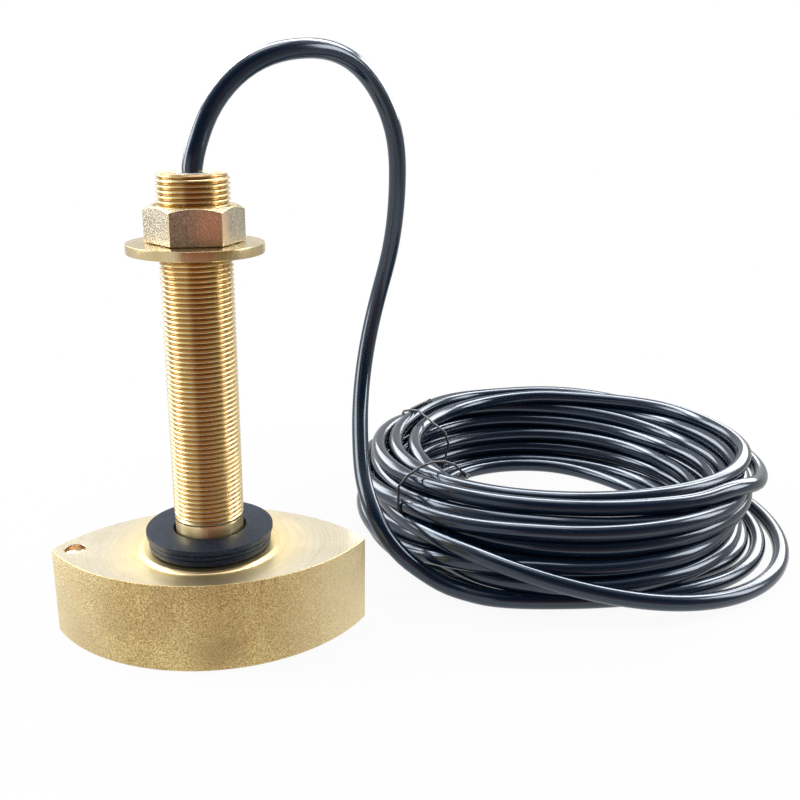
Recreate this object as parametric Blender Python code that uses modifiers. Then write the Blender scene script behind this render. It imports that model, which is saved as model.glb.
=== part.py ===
"""Through-hull sonar transducer with its cable.

A cast bronze housing, pointed at both ends, carries a threaded stem that goes up through a hull.
Two sealing washers lie on the housing's boss. A hexagonal nut with a captive clamp washer runs on
the stem and pinches the hull against them. The ceramic element is potted in a pocket that opens
downwards, behind a moulded window. The cable leaves the stem's top, arches over and lies in a coil.

Frame: the origin is on the stem's axis at the bottom face, +Z runs up the stem and +X along the
housing's long axis. Units are metres.
"""
import math

import bmesh
import bpy
import numpy as np

# Overall sizes of the housing
BODY_HALF_LENGTH = 0.0610
BODY_HALF_WIDTH = 0.0350
BODY_HEIGHT = 0.0353
OVERALL_HEIGHT = 0.1780
BODY_EDGE_ROUND = 0.0008

# Stem: crest diameter of a three-quarter inch parallel pipe thread
THREAD_DIAMETER = 0.02644
NECK_UNDERCUT = 0.00027
THREAD_START_ABOVE_BOSS = 0.0113
STEM_END_CHAMFER = 0.0013
STEM_BORE_RADIUS = 0.0075

# Boss that the sealing washers lie on
BOSS_HEIGHT = 0.0010
BOSS_LEDGE = 0.0023
BOSS_FLARE = 0.0022

# Pocket for the element, open at the bottom
POCKET_WALL = 0.0050
POCKET_ROOF = 0.0076
WINDOW_THICKNESS = 0.0030

# Shallow locating hole near one tip
LOCATING_HOLE_RADIUS = 0.0040
LOCATING_HOLE_FROM_TIP = 0.0090
LOCATING_HOLE_DEPTH = 0.0020
DRILL_POINT_HALF_ANGLE = math.radians(59)

# Element and its packing
ELEMENT_THICKNESS = 0.0100
CORK_SLEEVE_THICKNESS = 0.0030
CORK_BACKING_THICKNESS = 0.0040
RESIN_BESIDE_CORK = 0.0041
WIRE_WAY_RADIUS = 0.0060

# Sealing washers
WASHER_BORE_CLEARANCE = 0.00078
LOWER_SEAL_RADIUS = 0.0237
LOWER_SEAL_THICKNESS = 0.0046
LOWER_SEAL_CHAMFER = 0.0008
UPPER_SEAL_RADIUS = 0.02435
UPPER_SEAL_THICKNESS = 0.0022

# Nut and clamp washer
NUT_HEIGHT = 0.0130
NUT_WALL_AT_FLATS = 0.0020
NUT_TURN = math.radians(6.6)
NUT_BELOW_STEM_END = 0.0108
NUT_SPIGOT_WALL = 0.0011
NUT_LIP = 0.0008
NUT_LIP_HEIGHT = 0.0009
CLAMP_WASHER_RADIUS = 0.0246
CLAMP_WASHER_THICKNESS = 0.00365
CLAMP_WASHER_CHAMFER = 0.0004

# Cable
CABLE_RADIUS = 0.00365
WIRE_RADIUS = 0.0008
CABLE_SEAL_DEPTH = 0.0097
SEAL_MENISCUS = 0.0012
CABLE_FOOT_ABOVE_POCKET = 0.0040

# Coil of cable beside the transducer
COIL_CENTRE = (0.1640, 0.0880)
COIL_INNER_RADIUS = 0.0600
COIL_OUTER_RADIUS = 0.1005
COIL_HEIGHT = 0.0440
COIL_TOP_ROUND = 0.0080
COIL_FOOT_ROUND = 0.0030
TIE_WIRE_RADIUS = 0.0006
REAR_TIE_ANGLE = math.radians(146)
FRONT_TIE_ANGLE = math.radians(-152)

# Parts that touch keep this gap
GAP = 0.0003

# Facets of round pieces and of the housing's two long arcs
ROUND_STEPS = 64
COIL_STEPS = 72
ARC_STEPS = 40

# Route of the lead's centreline, from the stem's top down beside the coil
LEAD_ROUTE = (
    (0.0000, 0.0000, 0.1760),
    (0.0000, 0.0000, 0.1782),
    (0.0002, 0.0001, 0.1806),
    (0.0008, 0.0006, 0.1836),
    (0.0031, 0.0034, 0.1913),
    (0.0063, 0.0062, 0.1987),
    (0.0110, 0.0090, 0.2057),
    (0.0169, 0.0118, 0.2117),
    (0.0239, 0.0150, 0.2164),
    (0.0318, 0.0193, 0.2195),
    (0.0404, 0.0250, 0.2210),
    (0.0494, 0.0321, 0.2208),
    (0.0580, 0.0395, 0.2178),
    (0.0652, 0.0464, 0.2121),
    (0.0710, 0.0516, 0.2043),
    (0.0774, 0.0584, 0.1884),
    (0.0793, 0.0645, 0.1710),
    (0.0790, 0.0703, 0.1540),
    (0.0770, 0.0758, 0.1370),
    (0.0734, 0.0792, 0.1210),
    (0.0693, 0.0786, 0.1040),
    (0.0657, 0.0734, 0.0860),
    (0.0634, 0.0637, 0.0690),
    (0.0627, 0.0525, 0.0560),
    (0.0633, 0.0407, 0.0442),
    (0.0656, 0.0316, 0.0362),
    (0.0693, 0.0252, 0.0285),
    (0.0745, 0.0211, 0.0212),
    (0.0804, 0.0190, 0.0152),
)
# The lead ends here, against the coil's side: turn about its centre and height
LEAD_LANDING = (-137.6, 0.0103)
LEAD_FIRST_STEPS = (0.0, 0.0035, 0.0070, 0.0120)
LEAD_SPACING = 0.0140

# Route of the far end, which lies on the ground inside the coil: turn about its centre, distance
# off its inner wall
TAIL_ROUTE = (
    (-125, 0.0000),
    (-110, 0.0012),
    (-95, 0.0034),
    (-79, 0.0070),
    (-62, 0.0105),
    (-44, 0.0125),
    (-24, 0.0125),
)
TAIL_LENGTH = 0.0440
END_SLEEVE_THICKNESS = 0.00065
END_SLEEVE_LENGTH = 0.0150
END_CORE_RADIUS = 0.0009
END_CORE_LENGTH = 0.0200
END_CORE_SPREAD = 0.0034

# Heights and radii that follow from the sizes above
BOSS_TOP = BODY_HEIGHT + BOSS_HEIGHT
THREAD_RADIUS = THREAD_DIAMETER / 2
NECK_RADIUS = THREAD_RADIUS - NECK_UNDERCUT
THREAD_START = BOSS_TOP + THREAD_START_ABOVE_BOSS
WASHER_BORE = THREAD_RADIUS + WASHER_BORE_CLEARANCE
BOSS_RADIUS = LOWER_SEAL_RADIUS + BOSS_LEDGE
LOWER_SEAL_BOTTOM = BOSS_TOP + GAP
UPPER_SEAL_BOTTOM = LOWER_SEAL_BOTTOM + LOWER_SEAL_THICKNESS + GAP
POCKET_TOP = BODY_HEIGHT - POCKET_ROOF
ELEMENT_RADIUS = (BODY_HALF_WIDTH - POCKET_WALL - 3 * GAP - RESIN_BESIDE_CORK
                  - CORK_SLEEVE_THICKNESS)
ELEMENT_BOTTOM = WINDOW_THICKNESS + GAP
ELEMENT_TOP = ELEMENT_BOTTOM + ELEMENT_THICKNESS
CORK_RADIUS = ELEMENT_RADIUS + GAP + CORK_SLEEVE_THICKNESS
BACKING_BOTTOM = ELEMENT_TOP + GAP
BACKING_TOP = BACKING_BOTTOM + CORK_BACKING_THICKNESS
CABLE_FOOT = POCKET_TOP + CABLE_FOOT_ABOVE_POCKET
END_SLEEVE_RADIUS = CABLE_RADIUS + END_SLEEVE_THICKNESS
NUT_BORE = THREAD_RADIUS + GAP
NUT_TOP = OVERALL_HEIGHT - NUT_BELOW_STEM_END
NUT_BOTTOM = NUT_TOP - NUT_HEIGHT
NUT_FLAT_RADIUS = NUT_BORE + NUT_WALL_AT_FLATS
SPIGOT_RADIUS = NUT_BORE + NUT_SPIGOT_WALL
CLAMP_TOP = NUT_BOTTOM - GAP
CLAMP_BOTTOM = CLAMP_TOP - CLAMP_WASHER_THICKNESS


def clear_scene():
    for obj in list(bpy.data.objects):
        bpy.data.objects.remove(obj, do_unlink=True)


def new_collection(name):
    collection = bpy.data.collections.new(name)
    bpy.context.scene.collection.children.link(collection)
    return collection


def new_material(name, colour, roughness, metallic=0.0):
    material = bpy.data.materials.new(name)
    material.use_nodes = True
    shader = material.node_tree.nodes["Principled BSDF"]
    shader.inputs["Base Color"].default_value = (*colour, 1.0)
    shader.inputs["Roughness"].default_value = roughness
    shader.inputs["Metallic"].default_value = metallic
    return material


def add_object(name, data, collection, material=None):
    obj = bpy.data.objects.new(name, data)
    collection.objects.link(obj)
    if material is not None:
        obj.data.materials.append(material)
    return obj


def smooth_round_faces(mesh, angle=math.radians(35)):
    mesh.shade_smooth()
    mesh.set_sharp_from_angle(angle=angle)


def turned(name, profile, collection, material=None, closed=False, steps=ROUND_STEPS):
    """A turned solid. The profile is (radius, height) pairs that run down the outer side."""
    mesh = bpy.data.meshes.new(name)
    count = len(profile)
    edges = [(i, i + 1) for i in range(count - 1)]
    if closed:
        edges.append((count - 1, 0))
    mesh.from_pydata([(radius, 0.0, height) for radius, height in profile], edges, [])
    obj = add_object(name, mesh, collection, material)
    screw = obj.modifiers.new("turn", "SCREW")
    screw.axis = "Z"
    screw.angle = math.tau
    screw.steps = steps
    screw.render_steps = steps
    screw.use_smooth_shade = True
    screw.use_merge_vertices = True
    screw.merge_threshold = 0.00001
    return obj


def ring_profile(inner, outer, bottom, top, foot_chamfer=0.0, top_chamfer=0.0):
    """A ring's section, down the outer side and back up the bore."""
    points = [(outer - top_chamfer, top)]
    if top_chamfer:
        points.append((outer, top - top_chamfer))
    if foot_chamfer:
        points.append((outer, bottom + foot_chamfer))
    points.append((outer - foot_chamfer, bottom))
    points += [(inner, bottom), (inner, top)]
    return points


def arc_points(centre, radius, start, end, steps):
    """Points on an arc of a section, from one angle to the other."""
    angles = [start + (end - start) * i / steps for i in range(steps + 1)]
    return [(centre[0] + radius * math.cos(a), centre[1] + radius * math.sin(a)) for a in angles]


def lens_outline(half_length, half_width, inset=0.0):
    """Two equal arcs that meet in a point at each end, moved inwards by the inset."""
    arc_radius = (half_length ** 2 + half_width ** 2) / (2 * half_width)
    offset = arc_radius - half_width
    radius = arc_radius - inset
    half_angle = math.acos(offset / radius)
    up = math.pi / 2
    upper = arc_points((0.0, -offset), radius, up - half_angle, up + half_angle, ARC_STEPS)
    lower = arc_points((0.0, offset), radius, -up - half_angle, -up + half_angle, ARC_STEPS)
    return upper[:-1] + lower[:-1]


def curve_to_mesh(obj, collection, weld=0.00001):
    """Replace a curve object with its welded mesh."""
    depsgraph = bpy.context.evaluated_depsgraph_get()
    mesh = bpy.data.meshes.new_from_object(obj.evaluated_get(depsgraph))
    work = bmesh.new()
    work.from_mesh(mesh)
    bmesh.ops.remove_doubles(work, verts=work.verts, dist=weld)
    work.to_mesh(mesh)
    work.free()
    name = obj.name
    place = obj.matrix_world.copy()
    bpy.data.objects.remove(obj, do_unlink=True)
    solid = bpy.data.objects.new(name, mesh)
    solid.matrix_world = place
    collection.objects.link(solid)
    return solid


def flat_prism(name, outline, bottom, top, collection, material=None):
    """An outline in plan, filled and raised from one height to the other."""
    curve = bpy.data.curves.new(name, "CURVE")
    curve.dimensions = "2D"
    curve.fill_mode = "BOTH"
    curve.extrude = (top - bottom) / 2
    spline = curve.splines.new("POLY")
    spline.points.add(len(outline) - 1)
    for point, (x, y) in zip(spline.points, outline):
        point.co = (x, y, 0.0, 1.0)
    spline.use_cyclic_u = True
    obj = add_object(name, curve, collection, material)
    obj.location.z = (top + bottom) / 2
    bpy.context.view_layer.update()
    return curve_to_mesh(obj, collection)


def smooth_route(route, spacing, first_steps=(0.0,)):
    """Points on a natural cubic curve through the route's points, evenly spaced after the first."""
    points = np.array(route)
    chord = np.r_[0.0, np.cumsum(np.linalg.norm(np.diff(points, axis=0), axis=1))]
    steps = np.diff(chord)
    count = len(points)
    system = np.eye(count)
    target = np.zeros((count, 3))
    slopes = np.diff(points, axis=0) / steps[:, None]
    for i in range(1, count - 1):
        system[i, i - 1] = steps[i - 1]
        system[i, i] = 2 * (steps[i - 1] + steps[i])
        system[i, i + 1] = steps[i]
        target[i] = 6 * (slopes[i] - slopes[i - 1])
    bend = np.linalg.solve(system, target)

    def at(distance):
        i = int(np.clip(np.searchsorted(chord, distance) - 1, 0, count - 2))
        h = steps[i]
        a = (chord[i + 1] - distance) / h
        b = (distance - chord[i]) / h
        return (a * points[i] + b * points[i + 1]
                + ((a ** 3 - a) * bend[i] + (b ** 3 - b) * bend[i + 1]) * h * h / 6)

    pieces = max(2, round((chord[-1] - first_steps[-1]) / spacing))
    even = np.linspace(first_steps[-1], chord[-1], pieces + 1)
    return [at(distance) for distance in (*first_steps[:-1], *even)]


def stretch(points, start, end):
    """The part of a polyline between two distances along it."""
    points = np.array(points)
    length = np.r_[0.0, np.cumsum(np.linalg.norm(np.diff(points, axis=0), axis=1))]
    inside = [d for d in length if start + 0.001 < d < end - 0.001]
    wanted = [start] + inside + [end]
    return [tuple(np.interp(d, length, points[:, k]) for k in range(3)) for d in wanted]


def tube(name, points, radius, collection, material, closed=False, sides=2):
    """A round tube or wire along points, with capped ends."""
    curve = bpy.data.curves.new(name, "CURVE")
    curve.dimensions = "3D"
    curve.bevel_depth = radius
    curve.bevel_resolution = sides
    curve.use_fill_caps = True
    spline = curve.splines.new("POLY")
    spline.points.add(len(points) - 1)
    for point, place in zip(spline.points, points):
        point.co = (*place, 1.0)
    spline.use_cyclic_u = closed
    return add_object(name, curve, collection, material)


def boolean(obj, other, operation):
    modifier = obj.modifiers.new(other.name, "BOOLEAN")
    modifier.operation = operation
    modifier.object = other
    return modifier


def as_cutter(obj):
    obj.hide_render = True
    obj.display_type = "WIRE"
    return obj


def build_housing(parts, cutters, material):
    """The casting: pointed body, boss, neck and stem, with its bore, pocket and locating hole."""
    outline = lens_outline(BODY_HALF_LENGTH, BODY_HALF_WIDTH)
    body = flat_prism("transducer_housing", outline, 0.0, BODY_HEIGHT, parts)
    body.data.materials.clear()
    body.data.materials.append(material)
    edges = body.modifiers.new("edges", "BEVEL")
    edges.width = BODY_EDGE_ROUND
    edges.segments = 2
    edges.limit_method = "ANGLE"
    edges.angle_limit = math.radians(40)

    flare_radius = BOSS_RADIUS + BOSS_FLARE
    flare = [(BOSS_RADIUS + BOSS_FLARE * (1 - math.cos(a)), BOSS_TOP - BOSS_HEIGHT * math.sin(a))
             for a in (math.radians(90 * i / 5) for i in range(6))]
    root = BODY_HEIGHT - POCKET_ROOF / 2
    stem = turned("stem_form", [
        (0.0, OVERALL_HEIGHT),
        (THREAD_RADIUS - STEM_END_CHAMFER, OVERALL_HEIGHT),
        (THREAD_RADIUS, OVERALL_HEIGHT - STEM_END_CHAMFER),
        (THREAD_RADIUS, THREAD_START),
        (NECK_RADIUS, THREAD_START - NECK_UNDERCUT),
        (NECK_RADIUS, BOSS_TOP),
        *flare,
        (flare_radius, root),
        (0.0, root),
    ], cutters)
    boolean(body, as_cutter(stem), "UNION")

    pocket_outline = lens_outline(BODY_HALF_LENGTH, BODY_HALF_WIDTH, POCKET_WALL)
    pocket = flat_prism("pocket_form", pocket_outline, -POCKET_ROOF, POCKET_TOP, cutters)
    boolean(body, as_cutter(pocket), "DIFFERENCE")

    bore = turned("bore_form", [
        (0.0, OVERALL_HEIGHT + POCKET_ROOF),
        (STEM_BORE_RADIUS, OVERALL_HEIGHT + POCKET_ROOF),
        (STEM_BORE_RADIUS, POCKET_TOP - POCKET_ROOF / 2),
        (0.0, POCKET_TOP - POCKET_ROOF / 2),
    ], cutters, steps=48)
    boolean(body, as_cutter(bore), "DIFFERENCE")

    shoulder = BODY_HEIGHT - LOCATING_HOLE_DEPTH
    point = shoulder - LOCATING_HOLE_RADIUS / math.tan(DRILL_POINT_HALF_ANGLE)
    hole = turned("locating_hole_form", [
        (0.0, BODY_HEIGHT + LOCATING_HOLE_DEPTH),
        (LOCATING_HOLE_RADIUS, BODY_HEIGHT + LOCATING_HOLE_DEPTH),
        (LOCATING_HOLE_RADIUS, shoulder),
        (0.0, point),
    ], cutters, steps=32)
    hole.location.x = -(BODY_HALF_LENGTH - LOCATING_HOLE_FROM_TIP)
    boolean(body, as_cutter(hole), "DIFFERENCE")
    smooth_round_faces(body.data)
    return body


def build_window(parts, material):
    """The moulded face that closes the pocket, level with the casting's rim."""
    outline = lens_outline(BODY_HALF_LENGTH, BODY_HALF_WIDTH, POCKET_WALL + GAP)
    window = flat_prism("acoustic_window", outline, 0.0, WINDOW_THICKNESS, parts)
    window.data.materials.append(material)
    return window


def build_element(parts, materials):
    """The ceramic disc, its cork sleeve and backing, and its two soldered wires."""
    turned("ceramic_disc", [
        (0.0, ELEMENT_TOP),
        (ELEMENT_RADIUS, ELEMENT_TOP),
        (ELEMENT_RADIUS, ELEMENT_BOTTOM),
        (0.0, ELEMENT_BOTTOM),
    ], parts, materials["ceramic"])
    turned("cork_sleeve", ring_profile(ELEMENT_RADIUS + GAP, CORK_RADIUS, ELEMENT_BOTTOM, ELEMENT_TOP),
           parts, materials["cork"], closed=True)
    turned("cork_backing", ring_profile(WIRE_WAY_RADIUS, CORK_RADIUS, BACKING_BOTTOM, BACKING_TOP),
           parts, materials["cork"], closed=True)

    solder_radius = 2 * WIRE_RADIUS
    solder_top = BACKING_BOTTOM + solder_radius
    for name, side in (("signal", -1), ("return", 1)):
        pad = side * WIRE_WAY_RADIUS / 2
        joint = turned(name + "_solder", [
            (0.0, solder_top),
            *arc_points((0.0, BACKING_BOTTOM), solder_radius, math.radians(72), 0.0, 4),
            (0.0, BACKING_BOTTOM),
        ], parts, materials["solder"], steps=16)
        joint.location.x = pad
        foot = solder_top + GAP
        top = CABLE_FOOT - GAP
        wire = [
            (pad, 0.0, foot),
            (pad, 0.0, foot + (top - foot) * 0.3),
            (pad * 0.8, 0.0, foot + (top - foot) * 0.6),
            (side * 2 * WIRE_RADIUS, 0.0, top - (top - foot) * 0.1),
            (side * 2 * WIRE_RADIUS, 0.0, top),
        ]
        tube(name + "_wire", smooth_route(wire, 0.0015), WIRE_RADIUS, parts,
             materials[name + " insulation"])


def build_resin(parts, cutters, material):
    """The cast resin that fills the pocket around the element, with the way for the wires."""
    outline = lens_outline(BODY_HALF_LENGTH, BODY_HALF_WIDTH, POCKET_WALL + GAP)
    resin = flat_prism("resin_block", outline, WINDOW_THICKNESS + GAP, POCKET_TOP - GAP, parts)
    resin.data.materials.append(material)
    seat = BACKING_TOP + GAP
    room = turned("element_room_form", [
        (0.0, POCKET_TOP + POCKET_ROOF),
        (WIRE_WAY_RADIUS, POCKET_TOP + POCKET_ROOF),
        (WIRE_WAY_RADIUS, seat),
        (CORK_RADIUS + GAP, seat),
        (CORK_RADIUS + GAP, -WINDOW_THICKNESS),
        (0.0, -WINDOW_THICKNESS),
    ], cutters)
    boolean(resin, as_cutter(room), "DIFFERENCE")
    return resin


def build_stem_cable(parts, materials):
    """The cable inside the stem, and the resin plug that seals it at the top."""
    top = LEAD_ROUTE[0][2] - GAP
    turned("stem_cable", [
        (0.0, top),
        (CABLE_RADIUS, top),
        (CABLE_RADIUS, CABLE_FOOT),
        (0.0, CABLE_FOOT),
    ], parts, materials["cable"], steps=24)
    inner = CABLE_RADIUS + GAP
    outer = STEM_BORE_RADIUS - GAP
    face = OVERALL_HEIGHT
    turned("cable_seal", [
        (inner + SEAL_MENISCUS / 2, face + SEAL_MENISCUS),
        (inner + SEAL_MENISCUS, face + SEAL_MENISCUS / 3),
        (inner + 2 * SEAL_MENISCUS, face - GAP),
        (outer, face - GAP),
        (outer, face - CABLE_SEAL_DEPTH),
        (inner, face - CABLE_SEAL_DEPTH),
        (inner, face),
    ], parts, materials["seal resin"], closed=True, steps=48)


def build_sealing_washers(parts, materials):
    """Two loose washers on the boss, the upper one a little wider."""
    turned("lower_sealing_washer",
           ring_profile(WASHER_BORE, LOWER_SEAL_RADIUS, LOWER_SEAL_BOTTOM,
                        LOWER_SEAL_BOTTOM + LOWER_SEAL_THICKNESS, LOWER_SEAL_CHAMFER),
           parts, materials["rubber"], closed=True)
    turned("upper_sealing_washer",
           ring_profile(WASHER_BORE, UPPER_SEAL_RADIUS, UPPER_SEAL_BOTTOM,
                        UPPER_SEAL_BOTTOM + UPPER_SEAL_THICKNESS),
           parts, materials["rubber"], closed=True)


def build_nut(parts, cutters, material):
    """A hexagonal nut, chamfered on top, with a spigot below that carries the clamp washer."""
    corner_radius = NUT_FLAT_RADIUS / math.cos(math.pi / 6)
    bpy.ops.mesh.primitive_cylinder_add(vertices=6, radius=corner_radius, depth=NUT_HEIGHT)
    nut = bpy.context.object
    nut.name = "hull_nut"
    for old in list(nut.users_collection):
        old.objects.unlink(nut)
    parts.objects.link(nut)
    nut.data.materials.append(material)
    nut.location.z = (NUT_TOP + NUT_BOTTOM) / 2
    nut.rotation_euler.z = NUT_TURN

    crown = 0.97 * NUT_FLAT_RADIUS
    reach = corner_radius * 1.2
    drop = (reach - crown) * math.tan(math.radians(30))
    chamfer = turned("nut_chamfer_form", [
        (0.0, NUT_TOP),
        (crown, NUT_TOP),
        (reach, NUT_TOP - drop),
        (reach, NUT_BOTTOM - NUT_HEIGHT),
        (0.0, NUT_BOTTOM - NUT_HEIGHT),
    ], cutters)
    boolean(nut, as_cutter(chamfer), "INTERSECT")

    lip_bottom = CLAMP_BOTTOM + GAP
    lip_top = lip_bottom + NUT_LIP_HEIGHT
    spigot = turned("nut_spigot_form", [
        (0.0, NUT_BOTTOM + NUT_HEIGHT / 4),
        (SPIGOT_RADIUS, NUT_BOTTOM + NUT_HEIGHT / 4),
        (SPIGOT_RADIUS, lip_top),
        (SPIGOT_RADIUS + NUT_LIP, lip_top),
        (SPIGOT_RADIUS + NUT_LIP, lip_bottom),
        (0.0, lip_bottom),
    ], cutters)
    boolean(nut, as_cutter(spigot), "UNION")

    mouth = NUT_WALL_AT_FLATS / 3
    bore = turned("nut_bore_form", [
        (0.0, NUT_TOP + NUT_HEIGHT),
        (NUT_BORE + NUT_HEIGHT, NUT_TOP + NUT_HEIGHT),
        (NUT_BORE + mouth, NUT_TOP),
        (NUT_BORE, NUT_TOP - mouth),
        (NUT_BORE, CLAMP_BOTTOM - NUT_HEIGHT),
        (0.0, CLAMP_BOTTOM - NUT_HEIGHT),
    ], cutters)
    boolean(nut, as_cutter(bore), "DIFFERENCE")
    return nut


def build_clamp_washer(parts, material):
    """A flat washer, stepped inside so that the nut's lip holds it and it can still turn."""
    step = CLAMP_BOTTOM + NUT_LIP_HEIGHT + 2 * GAP
    bore = SPIGOT_RADIUS + GAP
    recess = SPIGOT_RADIUS + NUT_LIP + GAP
    chamfer = CLAMP_WASHER_CHAMFER
    return turned("clamp_washer", [
        (CLAMP_WASHER_RADIUS - chamfer, CLAMP_TOP),
        (CLAMP_WASHER_RADIUS, CLAMP_TOP - chamfer),
        (CLAMP_WASHER_RADIUS, CLAMP_BOTTOM + chamfer),
        (CLAMP_WASHER_RADIUS - chamfer, CLAMP_BOTTOM),
        (recess, CLAMP_BOTTOM),
        (recess, step),
        (bore, step),
        (bore, CLAMP_TOP),
    ], parts, material, closed=True)


def build_coil(parts, cutters, material):
    """The outer shape of the coiled cable, with a groove under it for each tie."""
    def corner(radius, height, round_off, start):
        return arc_points((radius, height), round_off, start, start - math.pi / 2, 4)

    up = math.pi / 2
    inner, outer = COIL_INNER_RADIUS, COIL_OUTER_RADIUS
    profile = (corner(outer - COIL_TOP_ROUND, COIL_HEIGHT - COIL_TOP_ROUND, COIL_TOP_ROUND, up)
               + corner(outer - COIL_FOOT_ROUND, COIL_FOOT_ROUND, COIL_FOOT_ROUND, 0.0)
               + corner(inner + COIL_FOOT_ROUND, COIL_FOOT_ROUND, COIL_FOOT_ROUND, -up)
               + corner(inner + COIL_TOP_ROUND, COIL_HEIGHT - COIL_TOP_ROUND, COIL_TOP_ROUND, -2 * up))
    coil = turned("cable_coil", profile, parts, material, closed=True, steps=COIL_STEPS)
    coil.location = (*COIL_CENTRE, 0.0)

    groove_half = TIE_WIRE_RADIUS + GAP
    groove_top = 2 * TIE_WIRE_RADIUS + 2 * GAP
    middle = (inner + outer) / 2
    for name, angle in (("rear", REAR_TIE_ANGLE), ("front", FRONT_TIE_ANGLE)):
        bpy.ops.mesh.primitive_cube_add(size=1.0)
        groove = bpy.context.object
        groove.name = name + "_groove_form"
        for old in list(groove.users_collection):
            old.objects.unlink(groove)
        cutters.objects.link(groove)
        groove.scale = (outer - inner + 4 * TIE_WIRE_RADIUS, 2 * groove_half, 2 * groove_top)
        groove.rotation_euler.z = angle
        groove.location = (COIL_CENTRE[0] + middle * math.cos(angle),
                           COIL_CENTRE[1] + middle * math.sin(angle), 0.0)
        boolean(coil, as_cutter(groove), "DIFFERENCE")
    return coil


def build_ties(parts, material):
    """Two wires bound round the coil, each a closed loop about its section."""
    stand_off = GAP + TIE_WIRE_RADIUS
    inner = COIL_INNER_RADIUS - stand_off
    outer = COIL_OUTER_RADIUS + stand_off
    top = COIL_HEIGHT + stand_off
    bottom = TIE_WIRE_RADIUS + GAP / 2
    top_round = COIL_TOP_ROUND + stand_off
    foot_round = 2 * TIE_WIRE_RADIUS
    up = math.pi / 2
    loop = (arc_points((outer - top_round, top - top_round), top_round, up, 0.0, 5)
            + arc_points((outer - foot_round, bottom + foot_round), foot_round, 0.0, -up, 3)
            + arc_points((inner + foot_round, bottom + foot_round), foot_round, -up, -2 * up, 3)
            + arc_points((inner + top_round, top - top_round), top_round, -2 * up, -3 * up, 5))
    for name, angle in (("rear_wire_tie", REAR_TIE_ANGLE), ("front_wire_tie", FRONT_TIE_ANGLE)):
        points = [(COIL_CENTRE[0] + radius * math.cos(angle),
                   COIL_CENTRE[1] + radius * math.sin(angle), height) for radius, height in loop]
        tube(name, points, TIE_WIRE_RADIUS, parts, material, closed=True)


def build_lead(parts, material):
    """The free run of cable, from the stem's top to the side of the coil."""
    turn, height = LEAD_LANDING
    reach = COIL_OUTER_RADIUS + CABLE_RADIUS + GAP
    landing = (COIL_CENTRE[0] + reach * math.cos(math.radians(turn)),
               COIL_CENTRE[1] + reach * math.sin(math.radians(turn)), height)
    route = smooth_route([*LEAD_ROUTE, landing], LEAD_SPACING, LEAD_FIRST_STEPS)
    tube("cable_lead", route, CABLE_RADIUS, parts, material, sides=3)


def build_far_end(parts, materials):
    """The end of the cable inside the coil: tail, sleeve, two cores and the twisted screen."""
    wall = COIL_INNER_RADIUS - END_SLEEVE_RADIUS - GAP
    route = smooth_route([(COIL_CENTRE[0] + (wall - off) * math.cos(math.radians(turn)),
                           COIL_CENTRE[1] + (wall - off) * math.sin(math.radians(turn)),
                           END_SLEEVE_RADIUS) for turn, off in TAIL_ROUTE], 0.004)
    tube("cable_tail", stretch(route, 0.0, TAIL_LENGTH), CABLE_RADIUS, parts, materials["cable"])
    sleeve_start = TAIL_LENGTH + GAP
    sleeve_end = sleeve_start + END_SLEEVE_LENGTH
    tube("end_sleeve", stretch(route, sleeve_start, sleeve_end), END_SLEEVE_RADIUS, parts,
         materials["sleeve"])
    core_start = sleeve_end + 2 * GAP
    middle = stretch(route, core_start, core_start + END_CORE_LENGTH)
    for name, side in (("end_core_signal", -1), ("end_core_return", 1), ("end_screen", 0)):
        points = []
        for i, (x, y, z) in enumerate(middle):
            share = i / (len(middle) - 1)
            out = side * (2.4 * END_CORE_RADIUS + END_CORE_SPREAD * share ** 2)
            drop = (z - END_CORE_RADIUS - GAP) * share
            ahead = np.array(middle[min(i + 1, len(middle) - 1)]) - np.array(middle[max(i - 1, 0)])
            ahead /= np.linalg.norm(ahead)
            points.append((x - ahead[1] * out, y + ahead[0] * out, z - drop))
        tube(name, points, END_CORE_RADIUS, parts, materials[name])


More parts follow.
